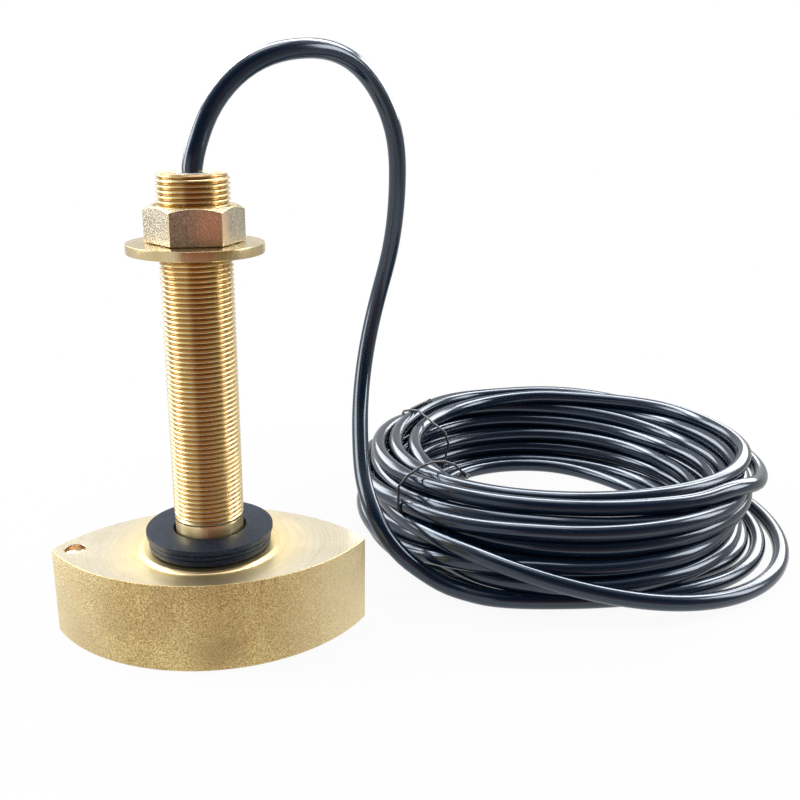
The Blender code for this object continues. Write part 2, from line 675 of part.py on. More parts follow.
def build():
    clear_scene()
    parts = new_collection("sonar_transducer")
    cutters = new_collection("cutting_forms")
    bronze = new_material("bronze", (0.76, 0.62, 0.38), 0.35, 1.0)
    materials = {
        "rubber": new_material("black rubber", (0.07, 0.07, 0.08), 0.55),
        "cable": new_material("black cable jacket", (0.02, 0.025, 0.035), 0.3),
        "tie": new_material("tie wire", (0.03, 0.03, 0.035), 0.35),
        "window": new_material("moulded window", (0.12, 0.12, 0.12), 0.4),
        "resin": new_material("potting resin", (0.30, 0.24, 0.14), 0.3),
        "seal resin": new_material("pale seal resin", (0.80, 0.78, 0.72), 0.35),
        "ceramic": new_material("silvered ceramic", (0.78, 0.77, 0.74), 0.4, 0.6),
        "cork": new_material("cork", (0.52, 0.36, 0.20), 0.9),
        "solder": new_material("solder", (0.62, 0.62, 0.63), 0.3, 1.0),
        "signal insulation": new_material("signal insulation", (0.55, 0.05, 0.04), 0.45),
        "return insulation": new_material("return insulation", (0.05, 0.05, 0.05), 0.45),
        "sleeve": new_material("shrink sleeve", (0.03, 0.03, 0.03), 0.5),
        "end_core_signal": new_material("end core signal", (0.55, 0.05, 0.04), 0.45),
        "end_core_return": new_material("end core return", (0.05, 0.05, 0.05), 0.45),
        "end_screen": new_material("tinned screen", (0.65, 0.64, 0.62), 0.4, 1.0),
    }
    build_housing(parts, cutters, bronze)
    build_window(parts, materials["window"])
    build_element(parts, materials)
    build_resin(parts, cutters, materials["resin"])
    build_stem_cable(parts, materials)
    build_sealing_washers(parts, materials)
    build_nut(parts, cutters, new_material("cast nut bronze", (0.66, 0.55, 0.38), 0.5, 1.0))
    build_clamp_washer(parts, new_material("turned bronze", (0.80, 0.66, 0.40), 0.3, 1.0))
    build_lead(parts, materials["cable"])
    build_coil(parts, cutters, new_material("coiled cable", (0.03, 0.035, 0.05), 0.3))
    build_ties(parts, materials["tie"])
    build_far_end(parts, materials)
    bpy.context.view_layer.update()


build()
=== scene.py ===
"""Looks of a through-hull sonar transducer with its coiled cable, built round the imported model.

Sizes are in metres and repeat the CAD source's. Only the coil's own tables are in millimetres.
"""
import math
from functools import partial

import bmesh
import bpy
import numpy as np
from mathutils import Matrix, Vector


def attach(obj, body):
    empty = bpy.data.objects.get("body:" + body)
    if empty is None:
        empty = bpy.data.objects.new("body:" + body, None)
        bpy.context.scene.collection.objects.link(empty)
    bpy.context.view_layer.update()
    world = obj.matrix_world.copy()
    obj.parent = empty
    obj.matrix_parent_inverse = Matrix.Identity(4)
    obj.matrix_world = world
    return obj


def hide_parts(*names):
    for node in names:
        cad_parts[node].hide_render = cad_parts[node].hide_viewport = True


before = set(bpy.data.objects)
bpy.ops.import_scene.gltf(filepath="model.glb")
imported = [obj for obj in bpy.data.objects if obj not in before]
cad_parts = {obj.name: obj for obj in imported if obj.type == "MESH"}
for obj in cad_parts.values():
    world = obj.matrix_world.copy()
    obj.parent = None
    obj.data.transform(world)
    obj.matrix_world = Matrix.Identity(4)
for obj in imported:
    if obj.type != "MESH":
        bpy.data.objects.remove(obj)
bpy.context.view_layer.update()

# Housing
BODY_HALF_LENGTH = 0.0610
BODY_HALF_WIDTH = 0.0350
BODY_HEIGHT = 0.0353
BODY_TIP_ROUND = 0.0010
BODY_FOOT_ROUND = 0.0009
BODY_TOP_CHAMFER = 0.0003
POCKET_WALL = 0.0050
POCKET_TOP = 0.0277
BOSS_TOP = 0.0363
BOSS_RADIUS = 0.0260
BOSS_FLARE = 0.0022
BOSS_FLARE_HEIGHT = 0.0010
BOSS_LIP_HEIGHT = 0.00006
BOSS_LIP_INSETS = (0.00015, 0.0004)
NECK_FILLET = 0.0006
LOCATING_HOLE_CENTRE = -0.0520
LOCATING_HOLE_RADIUS = 0.0040
LOCATING_HOLE_DEPTH = 0.0020
LOCATING_HOLE_EASE = 0.0002
DRILL_POINT_DEPTH = 0.0024

# Stem
STEM_TOP = 0.1780
STEM_BORE_RADIUS = 0.0075
STEM_BORE_CHAMFER = 0.0004
NECK_RADIUS = 0.01295
THREAD_START = 0.0476
THREAD_PITCH = 0.001814
THREAD_CREST_RADIUS = 0.01322
THREAD_ROOT_RADIUS = 0.01206
STEM_END_RADIUS = 0.01193
STEM_END_CHAMFER = 0.0013
STEM_STEPS = 96

# Washers and nut
LOWER_SEAL = {"bore": 0.0140, "outer": 0.0237, "bottom": 0.0366, "top": 0.0412}
UPPER_SEAL = {"bore": 0.0140, "outer": 0.02435, "bottom": 0.0415, "top": 0.0437}
NUT_TOP = 0.1672
NUT_BOTTOM = 0.1542
NUT_BORE = 0.01352
NUT_FLAT_RADIUS = 0.01552
NUT_MOUTH = 0.00067
NUT_CROWN_RADIUS = 0.97 * NUT_FLAT_RADIUS
NUT_CROWN_SLOPE = math.tan(math.radians(30))
NUT_EDGE = 0.00038
NUT_TURN = math.radians(6.6)
SPIGOT_RADIUS = 0.01462
SPIGOT_LIP = 0.0008
SPIGOT_LIP_HEIGHT = 0.0009
CLAMP_RADIUS = 0.0246
CLAMP_TOP = 0.1539
CLAMP_BOTTOM = 0.15025

# Cable
CABLE_RADIUS = 0.00365
COIL_CENTRE = (0.1640, 0.0880)
COIL_INNER_RADIUS = 0.0600
COIL_OUTER_RADIUS = 0.1005
END_SLEEVE_RADIUS = 0.0043
END_SLEEVE_LENGTH = 0.0150
END_CORE_LENGTH = 0.0200
END_CORE_RADIUS = 0.0009
END_CORE_SPREAD = 0.0034
END_CORE_COVERED = 0.72
CORE_STRANDS = {"radius": 0.62 * END_CORE_RADIUS, "count": 7, "lay": 0.006}
SCREEN_STRANDS = {"radius": END_CORE_RADIUS, "count": 9, "lay": 0.008}
TAIL_LENGTH = 0.0440
GAP = 0.0003
TIE_WIRE_RADIUS = 0.0006
WELD = 0.000002

LEAD_ROUTE = (
    (0.0000, 0.0000, 0.1760), (0.0000, 0.0000, 0.1782), (0.0002, 0.0001, 0.1806),
    (0.0008, 0.0006, 0.1836), (0.0031, 0.0034, 0.1913), (0.0063, 0.0062, 0.1987),
    (0.0110, 0.0090, 0.2057), (0.0169, 0.0118, 0.2117), (0.0239, 0.0150, 0.2164),
    (0.0318, 0.0193, 0.2195), (0.0404, 0.0250, 0.2210), (0.0494, 0.0321, 0.2208),
    (0.0580, 0.0395, 0.2178), (0.0652, 0.0464, 0.2121), (0.0710, 0.0516, 0.2043),
    (0.0774, 0.0584, 0.1884), (0.0793, 0.0645, 0.1710), (0.0790, 0.0703, 0.1540),
    (0.0770, 0.0758, 0.1370), (0.0734, 0.0792, 0.1210), (0.0693, 0.0786, 0.1040),
    (0.0657, 0.0734, 0.0860), (0.0634, 0.0637, 0.0690), (0.0627, 0.0525, 0.0560),
    (0.0633, 0.0407, 0.0442), (0.0656, 0.0316, 0.0362), (0.0693, 0.0252, 0.0285),
    (0.0745, 0.0211, 0.0212), (0.0804, 0.0190, 0.0152),
)
LEAD_LANDING = (-137.6, 0.0103)
TAIL_ROUTE = (
    (-125, 0.0000), (-110, 0.0012), (-95, 0.0034),
    (-79, 0.0070), (-62, 0.0105), (-44, 0.0125),
    (-24, 0.0125),
)

# The coil, in millimetres and degrees round its centre. Turns that lie in the stack keep to a level
# and a lane. The others are listed one by one, as (turn, distance from the centre, height), or without a
# height where they lie on the floor.
COIL_START = -132
COIL_STATIONS = 72
LEAD_IN_STATIONS = 14
SETTLING_ROUNDS = 600
CABLE_WIDTH = 7.3
LEVEL_HEIGHT = 7.2
STACK_TURNS = (-132, -100, -60, -20, 30, 74, 110, 146, 180, 208)
STACK_OUTER = (
    (98, 90, 87.5, 90, 96, 96, 98, 97, 97, 96),
    (97, 91, 87, 86, 92, 96, 98, 97, 97, 95),
    (95, 88, 85, 86, 92, 96, 98, 97, 94, 93),
    (92, 84, 84, 86, 92, 96, 97, 94, 90, 91),
    (90, 81, 84, 86, 91, 95, 95, 92, 88, 89),
)
STACK_LANES = (7.4, 7.5, 7.6, 7.7, 8.2, 8.0, 7.4, 7.35, 7.5, 7.35)
LAID_TURNS = {
    "first": ((-132, 100.3, 5.9), (-128, 98, 3.8), (-123, 98), (-119, 97), (-110, 92.5), (-100, 88.5),
              (-88, 85.5), (-73, 86.5), (-62, 93.5), (-52, 97.5), (-42, 100.5), (-35, 102.5), (-29, 102.3),
              (-23, 100), (-16, 97), (-8, 94.5), (5, 94), (30, 95), (74, 96), (110, 97), (146, 95),
              (180, 89), (208, 85)),
    "second": ((-132, 86), (-100, 80), (-78, 76, 5), (-67, 77, 8), (-58, 81, 8.5), (-46, 87.6, 8),
               (-39, 92.5, 7.5), (-30, 95.5, 7), (-21, 93, 6.5), (-13, 90, 6), (5, 87, 4), (30, 87),
               (74, 88), (110, 89), (146, 87), (180, 82), (208, 80)),
    "slipped": ((-132, 98.5, 25.5), (-109, 99.5, 20), (-99, 98.5, 15), (-86, 98, 8), (-73, 103),
                (-66, 108.5), (-60, 112), (-53, 113.5), (-46, 113), (-37, 110.5), (-27, 107.5), (-15, 106),
                (-3, 105), (10, 104.5), (30, 102, 4), (55, 101, 8), (80, 100, 14), (110, 99, 20),
                (146, 94, 26), (180, 94, 28), (208, 96, 29)),
    "top outer": ((-132, 84, 37), (-105, 77.5, 34), (-90, 76, 32.5), (-60, 77.5, 31), (-20, 88, 27.5),
                  (10, 91, 27), (30, 92, 29), (74, 90, 33), (110, 92, 33.5), (135, 90.5, 37), (150, 89, 40),
                  (173, 90, 40), (195, 89.5, 40), (210, 88, 40)),
    "top middle": ((-132, 76.5, 40), (-105, 72.5, 39.5), (-90, 72.3, 39), (-68, 74, 37.5),
                   (-50, 79.5, 35.5), (-40, 85.5, 33), (-30, 94, 31.5), (-20, 99, 31), (-10, 102, 31),
                   (0, 102, 31), (12, 101, 31.5), (30, 99, 33), (60, 97, 35), (80, 95, 37.5),
                   (100, 94, 38.5), (120, 91, 39), (146, 83, 39.2), (160, 81, 39.6), (184, 81, 40.3),
                   (205, 79, 40.3)),
    "top inner": ((-132, 69, 40), (-105, 65, 40), (-90, 65, 40), (-68, 66.5, 40), (-53, 69.5, 40),
                  (-36, 78.6, 39), (-24, 85.5, 38.5), (-11, 92, 38.5), (-2, 97, 38.5), (8, 99.5, 38.5),
                  (20, 99, 38.5), (31, 97, 38.5), (46, 95, 38.5), (59, 92, 38.5), (74, 90.5, 38.5),
                  (95, 86.5, 38.5), (120, 79, 38.7), (142, 72, 39), (160, 71, 39.5), (184, 71.5, 40),
                  (205, 71.5, 40)),
    "last": ((-132, 64, 30), (-115, 61, 17), (-98, 60, 4.5), (-80, 58), (-60, 57.5), (-20, 60), (10, 57),
             (30, 54.5), (48, 55.5), (68, 66), (88, 75), (110, 79), (146, 75), (180, 69), (208, 62),
             (228, 56.5)),
}
TURNS = ("first", "second", (0, 2), (0, 3), (1, 2), (1, 1), (1, 0), (2, 0), (2, 1), (2, 2), (3, 1),
         (3, 0), "slipped", (4, 0), "top outer", "top middle", "top inner", "last")

# Each tie: its turn round the coil and its lean over the width given here, both in degrees, the height
# above which it holds the cable's turns, the points (distance from the centre, height) of its slack,
# and the knot of its twisted ends
TIE_LEAN_WIDTH = 0.04
TIES = {
    "rear_tie": {
        "turn": 145.5, "lean": -19, "lowest": 0.0,
        "slack": [(0.078, 0.0462), (0.0585, 0.040), (0.0562, 0.034)],
        "knot": {"at": (0.084, 0.046), "ahead": (0.0115, 0.0035, 0.0042), "turns": 4, "twisted": 0.75}},
    "front_tie": {
        "turn": -151.5, "lean": 3, "lowest": 0.028,
        "slack": [(0.0600, 0.0385), (0.0645, 0.0430), (0.0710, 0.0462), (0.0780, 0.0475),
                  (0.0850, 0.0472), (0.0930, 0.0448), (0.0985, 0.0410)],
        "knot": {"at": (0.0590, 0.0365), "ahead": (0.0030, -0.0012, -0.0022), "turns": 2, "twisted": 0.7}},
}

# Camera: the photograph's place and angle, and the lens for a 36 mm wide frame
CAMERA_PLACE = (0.034537, -0.350200, 0.202047)
CAMERA_RIGHT = (0.99395766, -0.10911778, 0.01189449)
CAMERA_UP = (0.02095219, 0.29498458, 0.95527227)
CAMERA_AHEAD = (0.10774588, 0.94925097, -0.29548844)
CAMERA_LENS = 43.139
PHOTO_SIDE = math.radians(-84)

# Marks at their places: the dark stain low on the body's front, the body's pale tips, and the coppery
# patch on the nut. A reach is where a mark ends and where it is full.
STAIN_PLACE = (0.002, -0.034, 0.008)
STAIN_REACH = (0.014, 0.002)
TIPS_MIDDLE = 0.004
TIPS_REACH = (0.026, 0.062)
COPPER_PLACE = (0.0075, -0.0150, 0.1615)
COPPER_REACH = (0.010, 0.004)


def place_camera():
    data = bpy.data.cameras.new("camera")
    data.lens = CAMERA_LENS
    data.sensor_width = 36
    data.clip_start = 0.01
    camera = bpy.data.objects.new("camera", data)
    turn = Matrix((CAMERA_RIGHT, CAMERA_UP, [-part for part in CAMERA_AHEAD])).transposed()
    camera.matrix_world = Matrix.Translation(CAMERA_PLACE) @ turn.to_4x4()
    bpy.context.scene.collection.objects.link(camera)
    bpy.context.scene.camera = camera


# Node trees

def add_node(tree, kind, sockets=None, **settings):
    """One node. Its sockets take a value, or the output of another node."""
    node = tree.nodes.new(kind)
    for name, value in settings.items():
        setattr(node, name, value)
    for key, value in (sockets or {}).items():
        if isinstance(value, bpy.types.NodeSocket):
            tree.links.new(value, node.inputs[key])
        else:
            node.inputs[key].default_value = value
    return node


def calculate(tree, operation, *values, clamp=False):
    return add_node(tree, "ShaderNodeMath", dict(enumerate(values)), operation=operation,
                    use_clamp=clamp).outputs[0]


def new_tree(name, kind, inputs, output_kind, outputs):
    """A node group with its named sockets, and the sockets of its two end nodes.

    An input is given by the kind of its socket, or by the number that it starts from.
    """
    tree = bpy.data.node_groups.new(name, kind)
    for label, start in inputs.items():
        socket_kind = {float: "Float", int: "Int"}.get(type(start), start)
        socket = tree.interface.new_socket(name=label, in_out="INPUT",
                                           socket_type="NodeSocket" + socket_kind)
        if socket_kind != start:
            socket.default_value = start
    for label in outputs:
        tree.interface.new_socket(name=label, in_out="OUTPUT", socket_type="NodeSocket" + output_kind)
    return tree, tree.nodes.new("NodeGroupInput").outputs, tree.nodes.new("NodeGroupOutput").inputs


def link_all(tree, sockets, **values):
    """Values linked to the inputs of a shader or a group's end. An underscore stands for a space."""
    for label, value in values.items():
        tree.links.new(value, sockets[label.replace("_", " ")])


def separate(tree, vector):
    return add_node(tree, "ShaderNodeSeparateXYZ", {0: vector}).outputs


def combine(tree, x, y, z):
    return add_node(tree, "ShaderNodeCombineXYZ", {0: x, 1: y, 2: z}).outputs[0]


def from_axis(tree, place):
    """How far a place is from the upright axis."""
    parts = separate(tree, place)
    return add_node(tree, "ShaderNodeVectorMath", {0: combine(tree, parts[0], parts[1], 0.0)},
                    operation="LENGTH").outputs["Value"]


def distance_from(tree, place, point):
    return add_node(tree, "ShaderNodeVectorMath", {0: place, 1: point}, operation="DISTANCE").outputs["Value"]


def polar(tree, reach, angle):
    """The x and y of a point at a reach and an angle round the axis."""
    return [calculate(tree, "MULTIPLY", calculate(tree, part, angle), reach) for part in ("COSINE", "SINE")]


def noise(tree, vector, scale, detail=2.0, roughness=0.5):
    return add_node(tree, "ShaderNodeTexNoise", {"Vector": vector, "Scale": scale, "Detail": detail,
                                                 "Roughness": roughness}).outputs["Fac"]


def remap(tree, value, low, high, to_low=0.0, to_high=1.0):
    return add_node(tree, "ShaderNodeMapRange", {"Value": value, "From Min": low, "From Max": high,
                                                 "To Min": to_low, "To Max": to_high}).outputs[0]


def spread(tree, mask, low, high):
    """A mask from nought to one, brought between two numbers."""
    return remap(tree, mask, 0.0, 1.0, low, high)


def blend_colours(tree, share, first, second, kind="MIX"):
    node = tree.nodes.new("ShaderNodeMix")
    node.data_type = "RGBA"
    node.blend_type = kind
    for index, value in ((0, share), (6, first), (7, second)):
        if isinstance(value, bpy.types.NodeSocket):
            tree.links.new(value, node.inputs[index])
        else:
            node.inputs[index].default_value = value if index == 0 else (*value, 1.0)
    return node.outputs[2]


def tinted(tree, mask, strength, under, over):
    """A second colour over the first one where a mask shows, at most up to a strength."""
    return blend_colours(tree, calculate(tree, "MULTIPLY", mask, strength), under, over)


def ramp(tree, value, *stops):
    """A colour ramp. Its stops are (place, colour)."""
    node = add_node(tree, "ShaderNodeValToRGB", {0: value})
    elements = node.color_ramp.elements
    while len(elements) < len(stops):
        elements.new(0.5)
    for element, (place, colour) in zip(elements, stops):
        element.position = place
        element.color = (*colour, 1.0)
    return node.outputs[0]


# Geometry node trees

def captured(tree, geometry, label, value):
    """The geometry with a value held at each of its points, and that value."""
    node = tree.nodes.new("GeometryNodeCaptureAttribute")
    node.capture_items.new("FLOAT", label)
    tree.links.new(geometry, node.inputs[0])
    tree.links.new(value, node.inputs[1])
    return node.outputs[0], node.outputs[1]


def put_out_piece(tree, geometry, given, out):
    """The end of a geometry tree: real geometry in the finish that the tree is given."""
    whole = add_node(tree, "GeometryNodeRealizeInstances", {0: geometry}).outputs[0]
    finished = add_node(tree, "GeometryNodeSetMaterial", {"Geometry": whole, "Material": given["Finish"]})
    tree.links.new(finished.outputs[0], out[0])


def round_sweep_tree():
    """A round wire or jacket along a line. It notes each point's place on the unrolled surface."""
    tree, given, out = new_tree("round sweep", "GeometryNodeTree", {
        "Line": "Geometry", "Radius": 0.001, "Sides": 8, "Finish": "Material"}, "Geometry", ["Piece"])
    line = add_node(tree, "GeometryNodeMeshToCurve", {"Mesh": given["Line"]}).outputs[0]
    ring = add_node(tree, "GeometryNodeCurvePrimitiveCircle", {
        "Resolution": given["Sides"], "Radius": given["Radius"]}).outputs[0]
    place = tree.nodes.new("GeometryNodeSplineParameter").outputs
    line, length = captured(tree, line, "Length", place["Length"])
    ring, share = captured(tree, ring, "Share", place["Factor"])
    swept = add_node(tree, "GeometryNodeCurveToMesh", {
        "Curve": line, "Profile Curve": ring, "Fill Caps": True}).outputs[0]
    across, up = polar(tree, given["Radius"], calculate(tree, "MULTIPLY", share, math.tau))
    noted = add_node(tree, "GeometryNodeStoreNamedAttribute", {
        "Geometry": swept, "Name": "unrolled", "Value": combine(tree, across, up, length)},
        data_type="FLOAT_VECTOR", domain="POINT").outputs[0]
    put_out_piece(tree, noted, given, out)
    return tree


def thread_tree():
    """A right-hand thread: a grid sheared along the helix, so that its rows follow crest and root."""
    tree, given, out = new_tree("pipe thread", "GeometryNodeTree", {
        "Line": "Geometry",
        "Crest Radius": THREAD_CREST_RADIUS,
        "Root Radius": THREAD_ROOT_RADIUS,
        "Neck Radius": NECK_RADIUS,
        "End Radius": STEM_END_RADIUS,
        "End Chamfer": STEM_END_CHAMFER,
        "Pitch": THREAD_PITCH,
        "Start": THREAD_START,
        "Top": STEM_TOP,
        "Steps": STEM_STEPS,
        "Rows A Pitch": 8,
        "Finish": "Material",
    }, "Geometry", ["Piece"])
    reckon = partial(calculate, tree)
    pitch, start, top = given["Pitch"], given["Start"], given["Top"]
    pitches = reckon("ADD", reckon("CEIL", reckon("DIVIDE", reckon("SUBTRACT", top, start), pitch)), 1)
    rows = reckon("MULTIPLY", pitches, given["Rows A Pitch"])
    grid = add_node(tree, "GeometryNodeMeshGrid", {
        "Size X": 1.0, "Size Y": 1.0, "Vertices X": reckon("ADD", given["Steps"], 1),
        "Vertices Y": reckon("ADD", rows, 1)}).outputs["Mesh"]
    place = separate(tree, tree.nodes.new("GeometryNodeInputPosition").outputs[0])
    turn, up = (reckon("ADD", place[axis], 0.5) for axis in (0, 1))

    rise = reckon("ADD", reckon("MULTIPLY", up, pitches), turn)
    raw = reckon("MULTIPLY_ADD", reckon("SUBTRACT", rise, 1), pitch, start)
    z = reckon("MINIMUM", reckon("MAXIMUM", raw, start), top)
    above = reckon("SUBTRACT", z, start)
    phase = reckon("FRACT", reckon("ADD", reckon("SUBTRACT", reckon("DIVIDE", above, pitch), turn), 4))
    crest = reckon("ABSOLUTE", reckon("MULTIPLY_ADD", phase, 2, -1))
    depth = reckon("SUBTRACT", given["Crest Radius"], given["Root Radius"])
    cut = reckon("MULTIPLY_ADD", remap(tree, crest, 0.1, 0.9), depth, given["Root Radius"])
    run_in = reckon("DIVIDE", above, reckon("MULTIPLY", pitch, 1.5), clamp=True)
    threaded = reckon("MULTIPLY_ADD", reckon("SUBTRACT", cut, given["Neck Radius"]), run_in,
                      given["Neck Radius"])
    slope = reckon("DIVIDE", reckon("SUBTRACT", given["Crest Radius"], given["End Radius"]),
                   given["End Chamfer"])
    cone = reckon("MULTIPLY_ADD", reckon("SUBTRACT", top, z), slope, given["End Radius"])
    across, ahead = polar(tree, reckon("MINIMUM", threaded, cone), reckon("MULTIPLY", turn, math.tau))
    wrapped = add_node(tree, "GeometryNodeSetPosition", {
        "Geometry": grid, "Position": combine(tree, across, ahead, z)}).outputs[0]
    welded = add_node(tree, "GeometryNodeMergeByDistance", {"Geometry": wrapped, "Distance": WELD}).outputs[0]
    put_out_piece(tree, welded, given, out)
    return tree


def grown_mesh(name, tree, sizes, points, closed=False):
    """The plain mesh that a geometry node tree makes of a line of points, or in place of one point."""
    edges = [(i, i + 1) for i in range(len(points) - 1)]
    if closed:
        edges.append((len(points) - 1, 0))
    line = bpy.data.meshes.new(name + " line")
    line.from_pydata([tuple(map(float, point)) for point in points], edges, [])
    host = bpy.data.objects.new(name + " line", line)
    bpy.context.scene.collection.objects.link(host)
    modifier = host.modifiers.new("tree", "NODES")
    modifier.node_group = tree
    for socket in tree.interface.items_tree:
        if socket.item_type == "SOCKET" and socket.in_out == "INPUT" and socket.name in sizes:
            modifier[socket.identifier] = sizes[socket.name]
    bpy.context.view_layer.update()
    grown = host.evaluated_get(bpy.context.evaluated_depsgraph_get())
    mesh = bpy.data.meshes.new_from_object(grown)
    mesh.name = name
    bpy.data.objects.remove(host, do_unlink=True)
    bpy.data.meshes.remove(line)
    return mesh


# Pieces

def new_piece(name, mesh, body, replaced, smooth_angle=None):
    """An object for a finished mesh: smooth-shaded when an angle is given, hung under its body, in place of
    the parts it replaces.
    """
    if smooth_angle is not None:
        mesh.shade_smooth()
        mesh.set_sharp_from_angle(angle=math.radians(smooth_angle))
    piece = bpy.data.objects.new(name, mesh)
    bpy.context.scene.collection.objects.link(piece)
    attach(piece, body)
    if replaced:
        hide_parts(*replaced)
    return piece


def joined(name, meshes):
    """Several meshes as one, each with its own materials kept."""
    whole = bmesh.new()
    materials = []
    for mesh in meshes:
        first_face = len(whole.faces)
        whole.from_mesh(mesh)
        whole.faces.ensure_lookup_table()
        slots = []
        for material in mesh.materials:
            if material not in materials:
                materials.append(material)
            slots.append(materials.index(material))
        for face in whole.faces[first_face:]:
            face.material_index = slots[face.material_index] if slots else 0
    mesh = bpy.data.meshes.new(name)
    whole.to_mesh(mesh)
    whole.free()
    for material in materials:
        mesh.materials.append(material)
    return mesh


def add_loop(work, points):
    return [work.verts.new(point) for point in points]


def bridge(work, first, second, finish=0, smooth=True):
    """A band of faces between two closed loops of as many points."""
    for i in range(len(first)):
        j = (i + 1) % len(first)
        face = work.faces.new((first[i], first[j], second[j], second[i]))
        face.material_index = finish
        face.smooth = smooth


def bridge_all(work, loops, finish=0, smooth=True):
    """Bands of faces from each loop to the next one."""
    for first, second in zip(loops, loops[1:]):
        bridge(work, first, second, finish, smooth)


def loop_edges(work, loop):
    return [work.edges.get((loop[i], loop[i - 1])) or work.edges.new((loop[i], loop[i - 1]))
            for i in range(len(loop))]


def fill_between(work, loops, finish=0):
    """A flat face inside the first loop, with the others as its holes."""
    edges = [edge for loop in loops for edge in loop_edges(work, loop)]
    for face in bmesh.ops.triangle_fill(work, use_beauty=True, edges=edges)["geom"]:
        if isinstance(face, bmesh.types.BMFace):
            face.material_index = finish
            face.smooth = False


def circle(radius, z, steps, x=0.0, turn=0.0):
    angles = [turn + math.tau * i / steps for i in range(steps)]
    return [(x + radius * math.cos(a), radius * math.sin(a), z) for a in angles]


def close_up(work):
    bmesh.ops.remove_doubles(work, verts=work.verts, dist=WELD)
    bmesh.ops.recalc_face_normals(work, faces=work.faces)


def finished_mesh(work, name, materials, sharp=None):
    """The mesh of a closed body, faces outwards, with edges over the angle sharp."""
    close_up(work)
    if sharp is not None:
        for edge in work.edges:
            edge.smooth = len(edge.link_faces) == 2 and edge.calc_face_angle() < math.radians(sharp)
    mesh = bpy.data.meshes.new(name)
    work.to_mesh(mesh)
    work.free()
    for material in materials:
        mesh.materials.append(material)
    return mesh


def turned_mesh(name, profile, material, steps=128, sharp=32):
    """A turned ring or solid from its closed section of (radius, height)."""
    work = bmesh.new()
    loops = [add_loop(work, circle(radius, z, steps)) for radius, z in profile]
    bridge_all(work, loops + loops[:1])
    return finished_mesh(work, name, [material], sharp)


def rounded_section(corners, rounds, steps=3):
    """A section whose corners are eased, each by its own radius."""
    points = []
    for i, (corner, ease) in enumerate(zip(corners, rounds)):
        here = Vector(corner)
        before = (Vector(corners[i - 1]) - here).normalized()
        after = (Vector(corners[(i + 1) % len(corners)]) - here).normalized()
        if not ease:
            points.append(tuple(here))
            continue
        for step in range(steps + 1):
            t = step / steps
            start, end = here + before * ease, here + after * ease
            points.append(tuple((1 - t) ** 2 * start + 2 * t * (1 - t) * here + t ** 2 * end))
    return points


# Surface effects that several finishes share

def new_effect(name, outputs, **inputs):
    """A shader group that takes a place and some numbers, and puts out heights and masks."""
    return new_tree(name, "ShaderNodeTree", {"Vector": "Vector", **inputs}, "Float", outputs)


def casting_skin():
    """Sand-cast metal: grain with small pits, its fine change of tone, and larger blotches."""
    tree, given, out = new_effect("casting skin", ("Height", "Tone", "Blotches"), Grain=1500.0, Blotch=45.0)
    vector, grain = given["Vector"], given["Grain"]
    sand = noise(tree, vector, grain, 3.0, 0.65)
    pits = add_node(tree, "ShaderNodeTexVoronoi", {
        "Vector": vector, "Scale": calculate(tree, "MULTIPLY", grain, 0.6)}).outputs["Distance"]
    waves = noise(tree, vector, calculate(tree, "MULTIPLY", grain, 0.12), 2.0)
    pitted = calculate(tree, "MULTIPLY_ADD", pits, 0.45, sand)
    tone = noise(tree, vector, calculate(tree, "MULTIPLY", grain, 0.95), 3.0, 0.7)
    blotches = noise(tree, vector, given["Blotch"], 4.0, 0.6)
    link_all(tree, out, Height=calculate(tree, "MULTIPLY_ADD", waves, 0.35, pitted),
             Tone=remap(tree, tone, 0.38, 0.62), Blotches=remap(tree, blotches, 0.42, 0.70))
    return tree


def tool_marks():
    """Turning marks: fine rings round the Z axis, broken up as the tool chatters."""
    tree, given, out = new_effect("tool marks", ("Height", "Streaks"), Rings=2600.0)
    rings = given["Rings"]
    place = separate(tree, given["Vector"])
    radius = from_axis(tree, given["Vector"])
    angle = calculate(tree, "ARCTAN2", place[1], place[0])
    ring = combine(tree, calculate(tree, "MULTIPLY", radius, rings),
                   calculate(tree, "MULTIPLY", place[2], rings), polar(tree, 1.6, angle)[0])
    across, ahead = polar(tree, 2.5, angle)
    coarse = combine(tree, calculate(tree, "MULTIPLY", radius, calculate(tree, "MULTIPLY", rings, 0.3)),
                     ahead, across)
    link_all(tree, out, Height=noise(tree, ring, 1.0, 3.0, 0.7),
             Streaks=remap(tree, noise(tree, coarse, 1.0, 3.0, 0.65), 0.32, 0.68))
    return tree


def handling():
    """Smudges and faint scuffs of a handled part."""
    tree, given, out = new_effect("handling", ("Smudges", "Specks"), Size=90.0)
    smudges = noise(tree, given["Vector"], given["Size"], 5.0, 0.6)
    specks = noise(tree, given["Vector"], calculate(tree, "MULTIPLY", given["Size"], 22), 2.0, 0.6)
    link_all(tree, out, Smudges=remap(tree, smudges, 0.35, 0.72), Specks=remap(tree, specks, 0.62, 0.76))
    return tree


def moulded_skin():
    """Moulded rubber or plastic: a fine even grain with sparse bright dust."""
    tree, given, out = new_effect("moulded skin", ("Height", "Dust"), Grain=2200.0)
    dust = noise(tree, given["Vector"], calculate(tree, "MULTIPLY", given["Grain"], 0.7), 2.0, 0.5)
    link_all(tree, out, Height=noise(tree, given["Vector"], given["Grain"], 3.0, 0.7),
             Dust=remap(tree, dust, 0.55, 0.75))
    return tree


EFFECTS = {tree.name: tree for tree in (casting_skin(), tool_marks(), handling(), moulded_skin())}


def new_material(name, base, roughness, **shader_values):
    """A Principled material: its tree, its shader's inputs and its object coordinates."""
    material = bpy.data.materials.new(name)
    material.use_nodes = True
    tree = material.node_tree
    shader = tree.nodes["Principled BSDF"].inputs
    shader["Base Color"].default_value = (*base, 1.0)
    shader["Roughness"].default_value = roughness
    for label, value in shader_values.items():
        shader[label.replace("_", " ")].default_value = value
    place = tree.nodes.new("ShaderNodeTexCoord").outputs["Object"]
    return material, tree, shader, place


